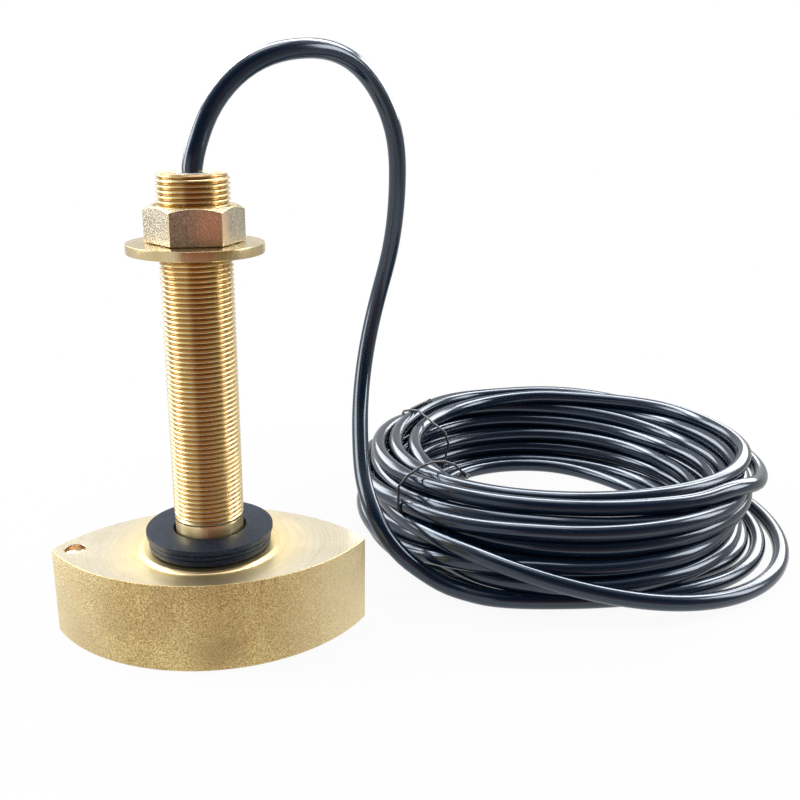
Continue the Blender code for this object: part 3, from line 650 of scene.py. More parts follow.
def effect(tree, name, vector, **values):
    node = add_node(tree, "ShaderNodeGroup", node_tree=EFFECTS[name])
    tree.links.new(vector, node.inputs["Vector"])
    for label, value in values.items():
        node.inputs[label].default_value = value
    return node.outputs


def add_bump(tree, shader, height, depth, strength=1.0, under=None):
    """Bump of so many metres at a height of one. An earlier bump may lie under it."""
    sockets = {"Height": height, "Distance": depth, "Strength": strength}
    if under is not None:
        sockets["Normal"] = under
    normal = add_node(tree, "ShaderNodeBump", sockets).outputs["Normal"]
    tree.links.new(normal, shader["Normal"])
    return normal


# Finishes

def cast_bronze():
    """The body's cast side: matt gold with sandy grain, darker patches, a stain and paler tips."""
    material, tree, shader, place = new_material("cast bronze", (0.6, 0.47, 0.24), 0.5, Metallic=1.0)
    skin = effect(tree, "casting skin", place, Grain=1900.0, Blotch=42.0)
    marks = effect(tree, "handling", place, Size=60.0)
    gold = blend_colours(tree, skin["Tone"], (0.39, 0.26, 0.09), (0.98, 0.78, 0.38))
    worn = tinted(tree, skin["Blotches"], 0.40, gold, (0.36, 0.215, 0.085))
    uneven = calculate(tree, "MULTIPLY_ADD", skin["Blotches"], -0.006,
                       distance_from(tree, place, STAIN_PLACE))
    worn = blend_colours(tree, remap(tree, uneven, *STAIN_REACH, 0.0, 0.45), worn, (0.34, 0.215, 0.10))
    # Paler towards both tips of the body.
    along = calculate(tree, "ABSOLUTE", calculate(tree, "ADD", separate(tree, place)[0], TIPS_MIDDLE))
    paler_tips = blend_colours(tree, remap(tree, along, *TIPS_REACH, 0.0, 0.6), worn, (0.97, 0.86, 0.58))
    link_all(tree, shader, Base_Color=paler_tips, Roughness=spread(tree, marks["Smudges"], 0.42, 0.60))
    add_bump(tree, shader, skin["Height"], 0.00030, 0.9)
    return material


def faced_bronze():
    """Turned and lightly polished bronze with the tool's rings, golden at the boss and paler outwards."""
    material, tree, shader, place = new_material("faced bronze", (0.86, 0.74, 0.46), 0.28, Metallic=1.0)
    marks = effect(tree, "tool marks", place, Rings=6500.0)
    wear = effect(tree, "handling", place, Size=70.0)
    radius = from_axis(tree, place)
    golden = blend_colours(tree, marks["Streaks"], (0.92, 0.71, 0.35), (0.98, 0.83, 0.48))
    pale = blend_colours(tree, marks["Streaks"], (0.86, 0.76, 0.53), (0.97, 0.89, 0.69))
    smoother = remap(tree, radius, 0.027, 0.045, 0.33, 0.23)
    link_all(tree, shader, Base_Color=blend_colours(tree, remap(tree, radius, 0.027, 0.042), golden, pale),
             Roughness=calculate(tree, "ADD", spread(tree, wear["Smudges"], 0.0, 0.06), smoother))
    add_bump(tree, shader, marks["Height"], 0.000014, 0.7)
    return material


def shaded_hole_bronze():
    """The locating hole: copper-brown, painted darker inside as the shade in the hole."""
    material, tree, shader, place = new_material("shaded hole bronze", (0.52, 0.30, 0.17), 0.38, Metallic=1.0)
    skin = effect(tree, "casting skin", place, Grain=2400.0, Blotch=300.0)
    # Painted shade: the inside of the hole is darker and redder than the faced top around it.
    metal = blend_colours(tree, skin["Blotches"], (0.90, 0.74, 0.54), (0.62, 0.44, 0.30))
    link_all(tree, shader, Base_Color=metal, Roughness=spread(tree, skin["Tone"], 0.30, 0.46))
    add_bump(tree, shader, skin["Height"], 0.00005, 0.6)
    return material


def cut_thread_bronze():
    """Threads: bright crests, and painted shade that turns the roots dark brown."""
    material, tree, shader, place = new_material("cut thread bronze", (0.80, 0.62, 0.34), 0.26, Metallic=1.0)
    wear = effect(tree, "handling", place, Size=80.0)
    marks = effect(tree, "tool marks", place, Rings=5200.0)
    # Painted shade: the colour darkens from crest to root, as the thread's hollows lie in shade.
    metal = ramp(tree, remap(tree, from_axis(tree, place), THREAD_ROOT_RADIUS, THREAD_CREST_RADIUS),
                 (0.0, (0.33, 0.185, 0.075)), (0.4, (0.74, 0.54, 0.25)), (0.85, (0.92, 0.78, 0.45)))
    link_all(tree, shader, Base_Color=tinted(tree, wear["Smudges"], 0.35, metal, (0.60, 0.40, 0.20)),
             Roughness=spread(tree, wear["Smudges"], 0.20, 0.34))
    add_bump(tree, shader, marks["Height"], 0.00001, 0.6)
    return material


def cast_nut_bronze():
    """The nut: tumbled casting, silvery where it is bright and brown where it has tarnished."""
    material, tree, shader, place = new_material("cast nut bronze", (0.62, 0.52, 0.38), 0.42, Metallic=1.0)
    skin = effect(tree, "casting skin", place, Grain=1700.0, Blotch=95.0)
    metal = blend_colours(tree, skin["Tone"], (0.35, 0.295, 0.195), (0.70, 0.675, 0.54))
    worn = tinted(tree, skin["Blotches"], 0.45, metal, (0.38, 0.25, 0.17))
    uneven = calculate(tree, "MULTIPLY_ADD", skin["Blotches"], 0.003,
                       distance_from(tree, place, COPPER_PLACE))
    worn = blend_colours(tree, remap(tree, uneven, *COPPER_REACH, 0.0, 0.8), worn, (0.95, 0.60, 0.38))
    link_all(tree, shader, Base_Color=worn, Roughness=spread(tree, skin["Tone"], 0.42, 0.28))
    add_bump(tree, shader, skin["Height"], 0.00026, 0.85)
    return material


def worn_and_highlighted_edge_bronze():
    """The nut's edges: worn bright, and painted brighter than the faces as a highlight along them."""
    material, tree, shader, place = new_material("worn and highlighted edge bronze", (0.95, 0.84, 0.55), 0.3, Metallic=1.0)
    wear = effect(tree, "handling", place, Size=400.0)
    link_all(tree, shader, Roughness=spread(tree, wear["Smudges"], 0.24, 0.40),
             Base_Color=tinted(tree, wear["Smudges"], 0.7, (0.98, 0.84, 0.48), (0.62, 0.46, 0.27)))
    add_bump(tree, shader, wear["Smudges"], 0.00004, 0.5)
    return material


def turned_bronze():
    """The clamp washer: turned all over, its face a little grainy."""
    material, tree, shader, place = new_material("turned bronze", (0.80, 0.68, 0.42), 0.3, Metallic=1.0)
    marks = effect(tree, "tool marks", place, Rings=3000.0)
    skin = effect(tree, "casting skin", place, Grain=1300.0, Blotch=70.0)
    metal = blend_colours(tree, marks["Streaks"], (0.60, 0.465, 0.235), (0.76, 0.635, 0.375))
    link_all(tree, shader, Base_Color=tinted(tree, skin["Blotches"], 0.3, metal, (0.50, 0.34, 0.20)),
             Roughness=spread(tree, skin["Tone"], 0.20, 0.32))
    grain = add_bump(tree, shader, skin["Height"], 0.00004, 0.5)
    add_bump(tree, shader, marks["Height"], 0.000025, 0.8, under=grain)
    return material


def black_rubber():
    """Moulded sealing washers, dusty grey on top."""
    material, tree, shader, place = new_material(
        "black rubber", (0.015, 0.018, 0.026), 0.5, Specular_IOR_Level=0.35,
        Specular_Tint=(0.7, 0.85, 1.0, 1.0))
    skin = effect(tree, "moulded skin", place, Grain=2300.0)
    wear = effect(tree, "handling", place, Size=110.0)
    link_all(tree, shader, Roughness=spread(tree, wear["Smudges"], 0.40, 0.58),
             Base_Color=tinted(tree, skin["Dust"], 0.30, (0.009, 0.014, 0.030), (0.22, 0.23, 0.27)))
    add_bump(tree, shader, skin["Height"], 0.00006, 0.6)
    return material


def cable_jacket():
    """Glossy navy-black jacket. Its marks run along the cable."""
    material, tree, shader, _ = new_material(
        "cable jacket", (0.008, 0.013, 0.028), 0.14, IOR=1.7, Specular_Tint=(0.78, 0.88, 1.0, 1.0))
    unrolled = add_node(tree, "ShaderNodeAttribute", attribute_name="unrolled").outputs["Vector"]
    drawn, wavy = (add_node(tree, "ShaderNodeMapping", {
        "Vector": unrolled, "Scale": (1.0, 1.0, along)}).outputs[0] for along in (0.06, 0.35))
    wear = effect(tree, "handling", drawn, Size=260.0)
    link_all(tree, shader, Roughness=spread(tree, wear["Smudges"], 0.12, 0.22),
             Base_Color=blend_colours(tree, wear["Specks"], (0.003, 0.011, 0.026), (0.03, 0.038, 0.055)))
    soft = add_bump(tree, shader, noise(tree, wavy, 110.0, 2.0), 0.0002, 0.5)
    add_bump(tree, shader, wear["Smudges"], 0.00002, 0.5, under=soft)
    return material


def coated(name, base, roughness, grain=2600.0, depth=0.00004):
    """A thin moulded or coated skin in one colour, with a little dust."""
    material, tree, shader, place = new_material(name, base, roughness)
    skin = effect(tree, "moulded skin", place, Grain=grain)
    dusty = tuple(min(1.0, part * 1.5 + 0.03) for part in base)
    link_all(tree, shader, Base_Color=tinted(tree, skin["Dust"], 0.5, base, dusty),
             Roughness=remap(tree, skin["Height"], 0.2, 0.8, roughness * 0.8, min(1.0, roughness * 1.25)))
    add_bump(tree, shader, skin["Height"], depth, 0.6)
    return material


def seal_resin():
    """Pale casting resin with a few sunken bubbles."""
    material, tree, shader, place = new_material("pale seal resin", (0.6, 0.58, 0.52), 0.3)
    bubbles = add_node(tree, "ShaderNodeTexVoronoi", {"Vector": place, "Scale": 620.0}).outputs["Distance"]
    haze = noise(tree, place, 240.0, 3.0)
    link_all(tree, shader, Base_Color=blend_colours(tree, haze, (0.74, 0.73, 0.70), (0.60, 0.58, 0.53)),
             Roughness=remap(tree, haze, 0.2, 0.8, 0.24, 0.42))
    add_bump(tree, shader, remap(tree, bubbles, 0.0, 0.22), 0.00015, 0.6)
    return material


def cork():
    """Pressed cork granules with dark joints."""
    material, tree, shader, place = new_material("cork", (0.52, 0.36, 0.20), 0.9)
    cells = {"Vector": place, "Scale": 620.0}
    shade = separate(tree, add_node(tree, "ShaderNodeTexVoronoi", cells).outputs["Color"])[0]
    joints = add_node(tree, "ShaderNodeTexVoronoi", cells, feature="DISTANCE_TO_EDGE").outputs["Distance"]
    granule = blend_colours(tree, shade, (0.40, 0.25, 0.12), (0.66, 0.47, 0.27))
    link_all(tree, shader, Roughness=spread(tree, shade, 0.8, 0.95),
             Base_Color=blend_colours(tree, remap(tree, joints, 0.0, 0.08), (0.16, 0.09, 0.05), granule))
    add_bump(tree, shader, joints, 0.0003, 0.7)
    return material


def silvered_ceramic():
    """Fired silver electrode on the ceramic disc, with brush marks and faint tarnish."""
    material, tree, shader, place = new_material("silvered ceramic", (0.80, 0.79, 0.76), 0.4, Metallic=0.8)
    marks = effect(tree, "tool marks", place, Rings=1500.0)
    wear = effect(tree, "handling", place, Size=120.0)
    link_all(tree, shader, Roughness=spread(tree, marks["Streaks"], 0.32, 0.5),
             Base_Color=tinted(tree, wear["Smudges"], 0.5, (0.84, 0.83, 0.80), (0.55, 0.48, 0.38)))
    add_bump(tree, shader, marks["Height"], 0.00002, 0.5)
    return material


def bright_wire(name, base, roughness):
    """Tinned wire or solder: bright, a little dull in patches."""
    material, tree, shader, place = new_material(name, base, roughness, Metallic=1.0)
    wear = effect(tree, "handling", place, Size=420.0)
    dull = tuple(part * 0.6 for part in base)
    link_all(tree, shader, Base_Color=blend_colours(tree, wear["Smudges"], base, dull),
             Roughness=spread(tree, wear["Smudges"], roughness, roughness + 0.2))
    add_bump(tree, shader, wear["Smudges"], 0.00003, 0.4)
    return material


# The cable's line

def around_coil(reach, turn, height):
    angle = math.radians(turn)
    return (COIL_CENTRE[0] + reach * math.cos(angle), COIL_CENTRE[1] + reach * math.sin(angle), height)


def lengths_along(points):
    """Each point's distance along the line."""
    return np.r_[0.0, np.cumsum(np.linalg.norm(np.diff(points, axis=0), axis=1))]


def smooth_line(route, spacing):
    """Evenly spaced points on the natural cubic curve through a route's points."""
    points = np.array(route)
    along = lengths_along(points)
    steps = np.diff(along)
    count = len(points)
    slopes = np.diff(points, axis=0) / steps[:, None]
    inner = np.arange(1, count - 1)
    system = np.eye(count)
    system[inner, inner - 1] = steps[:-1]
    system[inner, inner] = 2 * (steps[:-1] + steps[1:])
    system[inner, inner + 1] = steps[1:]
    target = np.zeros((count, 3))
    target[1:-1] = 6 * np.diff(slopes, axis=0)
    bend = np.linalg.solve(system, target)
    wanted = np.linspace(0.0, along[-1], max(2, round(along[-1] / spacing)) + 1)
    i = np.clip(np.searchsorted(along, wanted) - 1, 0, count - 2)
    h = steps[i][:, None]
    a = (along[i + 1] - wanted)[:, None] / h
    b = (wanted - along[i])[:, None] / h
    return (a * points[i] + b * points[i + 1]
            + ((a ** 3 - a) * bend[i] + (b ** 3 - b) * bend[i + 1]) * h * h / 6)


def stretch(points, start, end):
    """The part of a line between two distances along it."""
    length = lengths_along(points)
    wanted = [start, *[d for d in length if start + 0.001 < d < end - 0.001], end]
    return np.array([[np.interp(d, length, points[:, k]) for k in range(3)] for d in wanted])


def round_the_coil(values, turns):
    """A smooth closed curve through one value at each of the stack's turns."""
    at = np.array(STACK_TURNS, float)
    values = np.array(values, float)
    turns = (np.asarray(turns) - COIL_START) % 360 + COIL_START
    at = np.r_[at[-2:] - 360, at, at[:2] + 360]
    values = np.r_[values[-2:], values, values[:2]]
    slope = np.gradient(values, at)
    i = np.clip(np.searchsorted(at, turns) - 1, 0, len(at) - 2)
    h = at[i + 1] - at[i]
    t = (turns - at[i]) / h
    return ((2 * t ** 3 - 3 * t ** 2 + 1) * values[i] + (t ** 3 - 2 * t ** 2 + t) * h * slope[i]
            + (-2 * t ** 3 + 3 * t ** 2) * values[i + 1] + (t ** 3 - t ** 2) * h * slope[i + 1])


def soften(values, rounds):
    for _ in range(rounds):
        values = values.copy()
        values[1:-1] += 0.25 * (values[:-2] + values[2:] - 2 * values[1:-1])
    return values


def laid_points(name):
    """A laid turn's points, those on the floor with their height too."""
    return np.array([(*point, CABLE_WIDTH / 2)[:3] for point in LAID_TURNS[name]], float)


def wound_coil():
    """Each turn where it was laid, then settled so that turns lie on each other and not in each other."""
    count = len(TURNS)
    turns = COIL_START + np.arange(count * COIL_STATIONS + 1) * 360 / COIL_STATIONS
    reach = np.zeros(len(turns))
    height = np.zeros(len(turns))
    random = np.random.RandomState(4)
    for k, lay in enumerate(TURNS):
        own = slice(k * COIL_STATIONS, (k + 1) * COIL_STATIONS)
        local = turns[own] - 360 * k
        if isinstance(lay, str):
            angles, *laid = laid_points(lay).T
            around = None if lay in ("last", "first") else 360
            reach[own], height[own] = (np.interp(local, angles, values, period=around) for values in laid)
        else:
            level, lane = lay
            phase = random.uniform(0, math.tau, 3)
            reach[own] = (round_the_coil(STACK_OUTER[level], local)
                          - lane * round_the_coil(STACK_LANES, local)
                          + 1.2 * np.sin(np.radians(2 * local) + phase[0])
                          + 0.8 * np.sin(np.radians(3 * local) + phase[1]))
            height[own] = (CABLE_WIDTH / 2 + level * LEVEL_HEIGHT
                           + 0.7 * np.sin(np.radians(2 * local) + phase[2]))
    reach[-1], height[-1] = laid_points("last")[-1, 1:]

    # The change from turn to turn is softened, but not where the lead comes in
    laid_reach, laid_height = soften(reach, 40), soften(height, 40)
    blend = np.linspace(1, 0, LEAD_IN_STATIONS)
    for laid, first in ((laid_reach, reach), (laid_height, height)):
        laid[:LEAD_IN_STATIONS] += (first[:LEAD_IN_STATIONS] - laid[:LEAD_IN_STATIONS]) * blend
    reach, height = laid_reach.copy(), laid_height.copy()
    themselves = np.arange(count)
    for step in range(SETTLING_ROUNDS):
        hold = 0.10 if step < SETTLING_ROUNDS / 2 else 0.03
        reach += hold * (laid_reach - reach)
        height += hold * (laid_height - height) - 0.02
        for values, laid in ((reach, laid_reach), (height, laid_height)):
            off = values - laid
            off[1:-1] += 0.25 * (off[:-2] + off[2:] - 2 * off[1:-1])
            values[:] = laid + off
        for _ in range(3):
            across = reach[:-1].reshape(count, COIL_STATIONS)
            up = height[:-1].reshape(count, COIL_STATIONS)
            off_across = across[:, None] - across[None]
            off_up = up[:, None] - up[None]
            apart = np.sqrt(off_across ** 2 + off_up ** 2) + 1e-9
            push = 0.5 * np.clip(CABLE_WIDTH * 1.004 - apart, 0, None) / apart
            push[themselves, themselves] = 0
            reach[:-1] += 0.8 * np.clip((push * off_across).sum(1), -1.5, 1.5).ravel()
            height[:-1] += 0.8 * np.clip((push * off_up).sum(1), -1.5, 1.5).ravel()
            height = np.maximum(height, CABLE_WIDTH / 2)
    return reach, height


def coil_line(reach, height):
    """The coil's points in space, in metres."""
    turns = COIL_START + np.arange(len(reach)) * 360 / COIL_STATIONS
    return [around_coil(r / 1000, turn, z / 1000) for r, turn, z in zip(reach, turns, height)]


def coil_section(reach, height, turn):
    """Where the coil's turns cross the upright plane at one angle, as (distance, height) in metres."""
    station = ((turn - COIL_START) % 360) * COIL_STATIONS / 360
    stations = np.arange(len(TURNS)) * COIL_STATIONS + station
    every = np.arange(len(reach))
    return [(r / 1000, z / 1000) for r, z in zip(np.interp(stations, every, reach),
                                                 np.interp(stations, every, height))]


def outer_line(points):
    """The convex outline of points in a plane, counterclockwise."""
    ordered = sorted(set(points))

    def chain(side):
        kept = []
        for point in side:
            while len(kept) > 1:
                (ax, ay), (bx, by) = kept[-2], kept[-1]
                if (bx - ax) * (point[1] - ay) - (by - ay) * (point[0] - ax) > 0:
                    break
                kept.pop()
            kept.append(point)
        return kept[:-1]

    return chain(ordered) + chain(ordered[::-1])


# Pieces of the cable

def make_cable(sweep, jacket, tail, coil):
    """The whole cable in one length: out of the stem, over and down, round the coil and along the tail."""
    turn, height = LEAD_LANDING
    landing = around_coil(COIL_OUTER_RADIUS + CABLE_RADIUS + GAP, turn, height)
    route = [*LEAD_ROUTE, landing, *coil_line(*coil), *stretch(tail, 0.0, TAIL_LENGTH)]
    line = smooth_line(route, 0.004)
    mesh = grown_mesh("cable", sweep, {"Radius": CABLE_RADIUS, "Sides": 20, "Finish": jacket}, line)
    cable = new_piece("cable", mesh, "transducer",
                      ["cable_lead", "cable_coil", "cable_tail"], 50)
    return cable, line


def make_tie(name, sweep, finish, coil, turn, lean, lowest, slack, knot):
    """A tie wire round the turns above a height, slack over them, its two ends twisted together."""
    stand_off = CABLE_RADIUS + TIE_WIRE_RADIUS
    corners = [math.tau * i / 20 for i in range(20)]
    around = [(r + stand_off * math.cos(a), z + stand_off * math.sin(a))
              for r, z in coil_section(*coil, turn) if z > lowest for a in corners]
    outline = np.array(outer_line(around + slack))
    middle = (COIL_INNER_RADIUS + COIL_OUTER_RADIUS) / 2
    loop = [around_coil(r, turn + lean * (r - middle) / TIE_LEAN_WIDTH, max(z, TIE_WIRE_RADIUS))
            for r, z in outline]
    sizes = {"Radius": TIE_WIRE_RADIUS, "Sides": 10, "Finish": finish}
    meshes = [grown_mesh(name, sweep, sizes, loop, closed=True)]
    at = min(range(len(loop)), key=lambda i: math.dist(outline[i], knot["at"]))
    start = Vector(loop[at])
    ahead = Vector(knot["ahead"])
    side = ahead.cross((0, 0, 1)).normalized()
    over = side.cross(ahead).normalized()
    for k in (0, 1):
        points = []
        for step in range(41):
            t = step / 40
            twist = math.tau * knot["turns"] * min(t / knot["twisted"], 1) + math.pi * k
            splayed = max(0.0, t - knot["twisted"]) * 6
            apart = TIE_WIRE_RADIUS * (1.05 + splayed)
            points.append(start + ahead * t + (side * math.cos(twist) + over * math.sin(twist)) * apart)
        meshes.append(grown_mesh(name, sweep, sizes, points))
    return new_piece(name, joined(name, meshes), "transducer",
                     [name.replace("tie", "wire_tie")], 60)


def make_far_end(sweep, finishes, tail):
    """The cut end of the cable: shrink sleeve, two cores with bared tips, and the twisted screen."""
    start = TAIL_LENGTH + GAP
    end = start + END_SLEEVE_LENGTH
    sleeve_line = stretch(tail, start, end)
    sleeve = grown_mesh("shrink_sleeve", sweep, {
        "Radius": END_SLEEVE_RADIUS, "Sides": 24, "Finish": finishes["sleeve"]}, sleeve_line)
    pieces = [new_piece("shrink_sleeve", sleeve, "transducer", ["end_sleeve"], 50)]
    middle = stretch(tail, end + 2 * GAP, end + 2 * GAP + END_CORE_LENGTH)
    core = END_CORE_RADIUS
    for name, side, slot, node in (("signal_core", -1, "end core signal", "end_core_signal"),
                                   ("return_core", 1, "end core return", "end_core_return"),
                                   ("screen", 0, "tinned screen", "end_screen")):
        points = []
        for i, place in enumerate(middle):
            share = i / (len(middle) - 1)
            out = side * (2.4 * core + END_CORE_SPREAD * share ** 2)
            ahead = middle[min(i + 1, len(middle) - 1)] - middle[max(i - 1, 0)]
            ahead /= np.linalg.norm(ahead)
            drop = (place[2] - core - GAP) * share
            points.append((place[0] - ahead[1] * out, place[1] + ahead[0] * out, place[2] - drop))
        points = smooth_line(points, 0.0005)
        if side:
            bare = round(len(points) * END_CORE_COVERED)
            meshes = [grown_mesh(name, sweep, {"Radius": core, "Sides": 12, "Finish": finishes[name]},
                                 points[:bare])]
            meshes += twisted_strands(name, sweep, points[bare - 2:], finishes["screen"], **CORE_STRANDS)
        else:
            meshes = twisted_strands(name, sweep, points, finishes["screen"], **SCREEN_STRANDS)
        pieces.append(new_piece(name, joined(name, meshes), "transducer", [node], 50))
    return pieces


def twisted_strands(name, sweep, points, finish, radius, count, lay):
    """Thin wires laid round a line, as in a stranded core."""
    strand = radius * math.sin(math.pi / count) / (1 + math.sin(math.pi / count))
    ring = radius - strand
    length = lengths_along(points)
    ahead = np.gradient(points, axis=0)
    ahead /= np.linalg.norm(ahead, axis=1)[:, None]
    side = np.cross(ahead, (0.0, 0.0, 1.0))
    side /= np.linalg.norm(side, axis=1)[:, None]
    over = np.cross(side, ahead)
    meshes = []
    for k in range(count):
        angle = (math.tau * (length / lay + k / count))[:, None]
        meshes.append(grown_mesh(name, sweep, {"Radius": strand, "Sides": 6, "Finish": finish},
                                 points + ring * (np.cos(angle) * side + np.sin(angle) * over)))
    return meshes


# Pieces of the transducer

def body_loop(inset, z, arc_steps=56, tip_steps=6):
    """The body's outline at one height: two long arcs that meet in slightly blunted tips."""
    arc_radius = (BODY_HALF_LENGTH ** 2 + BODY_HALF_WIDTH ** 2) / (2 * BODY_HALF_WIDTH)
    offset = arc_radius - BODY_HALF_WIDTH
    ease = BODY_TIP_ROUND
    radius = arc_radius - inset
    half_angle = math.acos(offset / (radius - ease))
    tip = math.sqrt((radius - ease) ** 2 - offset ** 2)
    points = []
    for side in (1, -1):
        for i in range(arc_steps):
            a = side * math.pi / 2 - half_angle + 2 * half_angle * i / arc_steps
            points.append((radius * math.cos(a), radius * math.sin(a) - side * offset, z))
        for i in range(tip_steps):
            a = side * math.pi / 2 + half_angle + (math.pi - 2 * half_angle) * i / tip_steps
            points.append((-side * tip + ease * math.cos(a), ease * math.sin(a), z))
    return points


def make_housing(thread, finishes):
    """The casting in one closed body: cast sides, faced top and boss, cut thread, bore and pocket."""
    cast, faced, cut, shaded_hole = range(4)
    stem = grown_mesh("stem", thread, {"Finish": finishes["thread"]}, [(0, 0, 0)])
    work = bmesh.new()
    work.from_mesh(stem)
    bpy.data.meshes.remove(stem)
    for face in work.faces:
        face.material_index = cut
        face.smooth = True

    def ring(radius, z):
        return add_loop(work, circle(radius, z, STEM_STEPS))

    def arc(*degrees):
        """How far an arc has come across and up at each angle, as shares of its radius."""
        return [(1 - math.cos(a), math.sin(a)) for a in map(math.radians, degrees)]

    neck = [ring(BOSS_RADIUS + BOSS_FLARE, BODY_HEIGHT)]
    neck += [ring(BOSS_RADIUS + BOSS_FLARE * across, BOSS_TOP - BOSS_FLARE_HEIGHT * up)
             for across, up in arc(75, 60, 45, 30, 15, 0)]
    neck += [ring(BOSS_RADIUS - inset, BOSS_TOP + BOSS_LIP_HEIGHT) for inset in BOSS_LIP_INSETS]
    neck += [ring(NECK_RADIUS + NECK_FILLET * across, BOSS_TOP + NECK_FILLET * (1 - up))
             for across, up in arc(90, 60, 30, 0)]
    neck.append(ring(NECK_RADIUS, THREAD_START))
    bridge_all(work, neck, faced)

    end = [ring(STEM_END_RADIUS, STEM_TOP), ring(STEM_BORE_RADIUS + STEM_BORE_CHAMFER, STEM_TOP),
           ring(STEM_BORE_RADIUS, STEM_TOP - STEM_BORE_CHAMFER), ring(STEM_BORE_RADIUS, POCKET_TOP)]
    bridge_all(work, end, faced)

    side = [add_loop(work, body_loop(BODY_TOP_CHAMFER * (1 - up), BODY_HEIGHT - BODY_TOP_CHAMFER * across))
            for across, up in arc(0, 30, 60, 90)]
    side += [add_loop(work, body_loop(BODY_FOOT_ROUND * across, BODY_FOOT_ROUND * (1 - up)))
             for across, up in arc(0, 22.5, 45, 67.5, 90)]
    bridge_all(work, side, cast)
    rim, roof = (add_loop(work, body_loop(POCKET_WALL, z)) for z in (0.0, POCKET_TOP))
    bridge(work, side[-1], rim, cast, smooth=False)
    bridge(work, rim, roof, cast)
    fill_between(work, [roof, end[-1]], cast)

    # The locating hole, in the finish that carries the hole's painted shade.
    hole = [add_loop(work, circle(LOCATING_HOLE_RADIUS + ease, BODY_HEIGHT - down, 40, LOCATING_HOLE_CENTRE))
            for ease, down in ((LOCATING_HOLE_EASE, 0.0), (0.0, LOCATING_HOLE_EASE),
                               (0.0, LOCATING_HOLE_DEPTH))]
    bridge_all(work, hole, shaded_hole)
    point = work.verts.new((LOCATING_HOLE_CENTRE, 0.0, BODY_HEIGHT - LOCATING_HOLE_DEPTH - DRILL_POINT_DEPTH))
    foot = hole[-1]
    for first, second in zip(foot, foot[1:] + foot[:1]):
        face = work.faces.new((first, second, point))
        face.material_index = shaded_hole
        face.smooth = True
    fill_between(work, [side[0], neck[0], hole[0]], faced)

    close_up(work)
    for edge in work.edges:
        on_thread = all(face.material_index == cut for face in edge.link_faces)
        edge.smooth = on_thread or edge.calc_face_angle(0) < math.radians(32)
    mesh = finished_mesh(work, "housing", [finishes[name] for name in ("cast", "faced", "thread", "shaded_hole")])
    return new_piece("housing", mesh, "transducer", ["transducer_housing"])


def make_nut(finish, edge_finish):
    """The hull nut: a hexagon with its top corners turned off, and the spigot that holds the washer."""
    steps = 96
    angles = [NUT_TURN + math.tau * i / steps for i in range(steps)]
    flats = [NUT_FLAT_RADIUS / math.cos((a - NUT_TURN) % (math.pi / 3) - math.pi / 6) for a in angles]
    work = bmesh.new()

    def ring(radius, z):
        return add_loop(work, circle(radius, z, steps, turn=NUT_TURN))

    def hexagon(slope, z):
        return add_loop(work, [(r * math.cos(a), r * math.sin(a), z - (r - NUT_CROWN_RADIUS) * slope)
                               for r, a in zip(flats, angles)])

    foot = CLAMP_BOTTOM + GAP
    lip = foot + SPIGOT_LIP_HEIGHT
    rows = [ring(NUT_BORE, foot), ring(NUT_BORE, NUT_TOP - NUT_MOUTH), ring(NUT_BORE + NUT_MOUTH, NUT_TOP),
            ring(NUT_CROWN_RADIUS, NUT_TOP), hexagon(NUT_CROWN_SLOPE, NUT_TOP), hexagon(0.0, NUT_BOTTOM),
            ring(SPIGOT_RADIUS, NUT_BOTTOM), ring(SPIGOT_RADIUS, lip), ring(SPIGOT_RADIUS + SPIGOT_LIP, lip),
            ring(SPIGOT_RADIUS + SPIGOT_LIP, foot)]
    bridge_all(work, rows + rows[:1])
    sharp = 18
    mesh = finished_mesh(work, "nut", [finish, edge_finish], sharp)
    nut = new_piece("hexagon_nut", mesh, "nut", ["hull_nut"])
    edges = nut.modifiers.new("eased edges", "BEVEL")
    edges.width = NUT_EDGE
    edges.segments = 2
    edges.limit_method = "ANGLE"
    edges.angle_limit = math.radians(sharp)
    edges.harden_normals = True
    # The eased edges take the bright edge finish: wear together with a painted highlight.
    edges.material = 1
    return nut


def make_turned_pieces(finishes):
    """The clamp washer, the two sealing washers and the resin plug."""
    step = CLAMP_BOTTOM + SPIGOT_LIP_HEIGHT + 2 * GAP
    bore, recess = SPIGOT_RADIUS + GAP, SPIGOT_RADIUS + SPIGOT_LIP + GAP
    clamp = rounded_section(
        [(CLAMP_RADIUS, CLAMP_TOP), (CLAMP_RADIUS, CLAMP_BOTTOM), (recess, CLAMP_BOTTOM), (recess, step),
         (bore, step), (bore, CLAMP_TOP)], [0.0004, 0.0004, 0.0002, 0, 0, 0.0003])
    bore, outer, foot, top = LOWER_SEAL.values()
    groove = top - 0.0019
    waist = outer - 0.0002
    lower = rounded_section(
        [(outer, top), (outer, groove + 0.0003), (outer - 0.0008, groove), (waist, groove - 0.0004),
         (waist, foot), (bore, foot), (bore, top)], [0.0007, 0.0003, 0.0002, 0.0003, 0.0013, 0.0002, 0.0002])
    bore, outer, foot, top = UPPER_SEAL.values()
    upper = rounded_section([(outer, top), (outer, foot), (bore, foot), (bore, top)],
                            [0.0003, 0.0006, 0.0002, 0.0002])
    inner, outer, face = CABLE_RADIUS + GAP, STEM_BORE_RADIUS - GAP, STEM_TOP
    plug_foot = face - 0.0097
    plug = [(inner + 0.0002, face + 0.0001), (inner + 0.0006, face - 0.0001), (inner + 0.0012, face - 0.0003),
            (inner + 0.0020, face - 0.0004), (outer - 0.0003, face - 0.0004), (outer, face - 0.0003),
            (outer, plug_foot), (inner, plug_foot), (inner, face)]
    for name, section, finish, body, slot, node in (
            ("captive_washer", clamp, "washer", "clamp_ring", "turned bronze", "clamp_washer"),
            ("lower_seal", lower, "rubber", "transducer", "black rubber", "lower_sealing_washer"),
            ("upper_seal", upper, "rubber", "transducer", "black rubber", "upper_sealing_washer"),
            ("resin_plug", plug, "seal", "transducer", "pale seal resin", "cable_seal")):
        new_piece(name, turned_mesh(name, section, finishes[finish]), body, [node])


# Stage and light

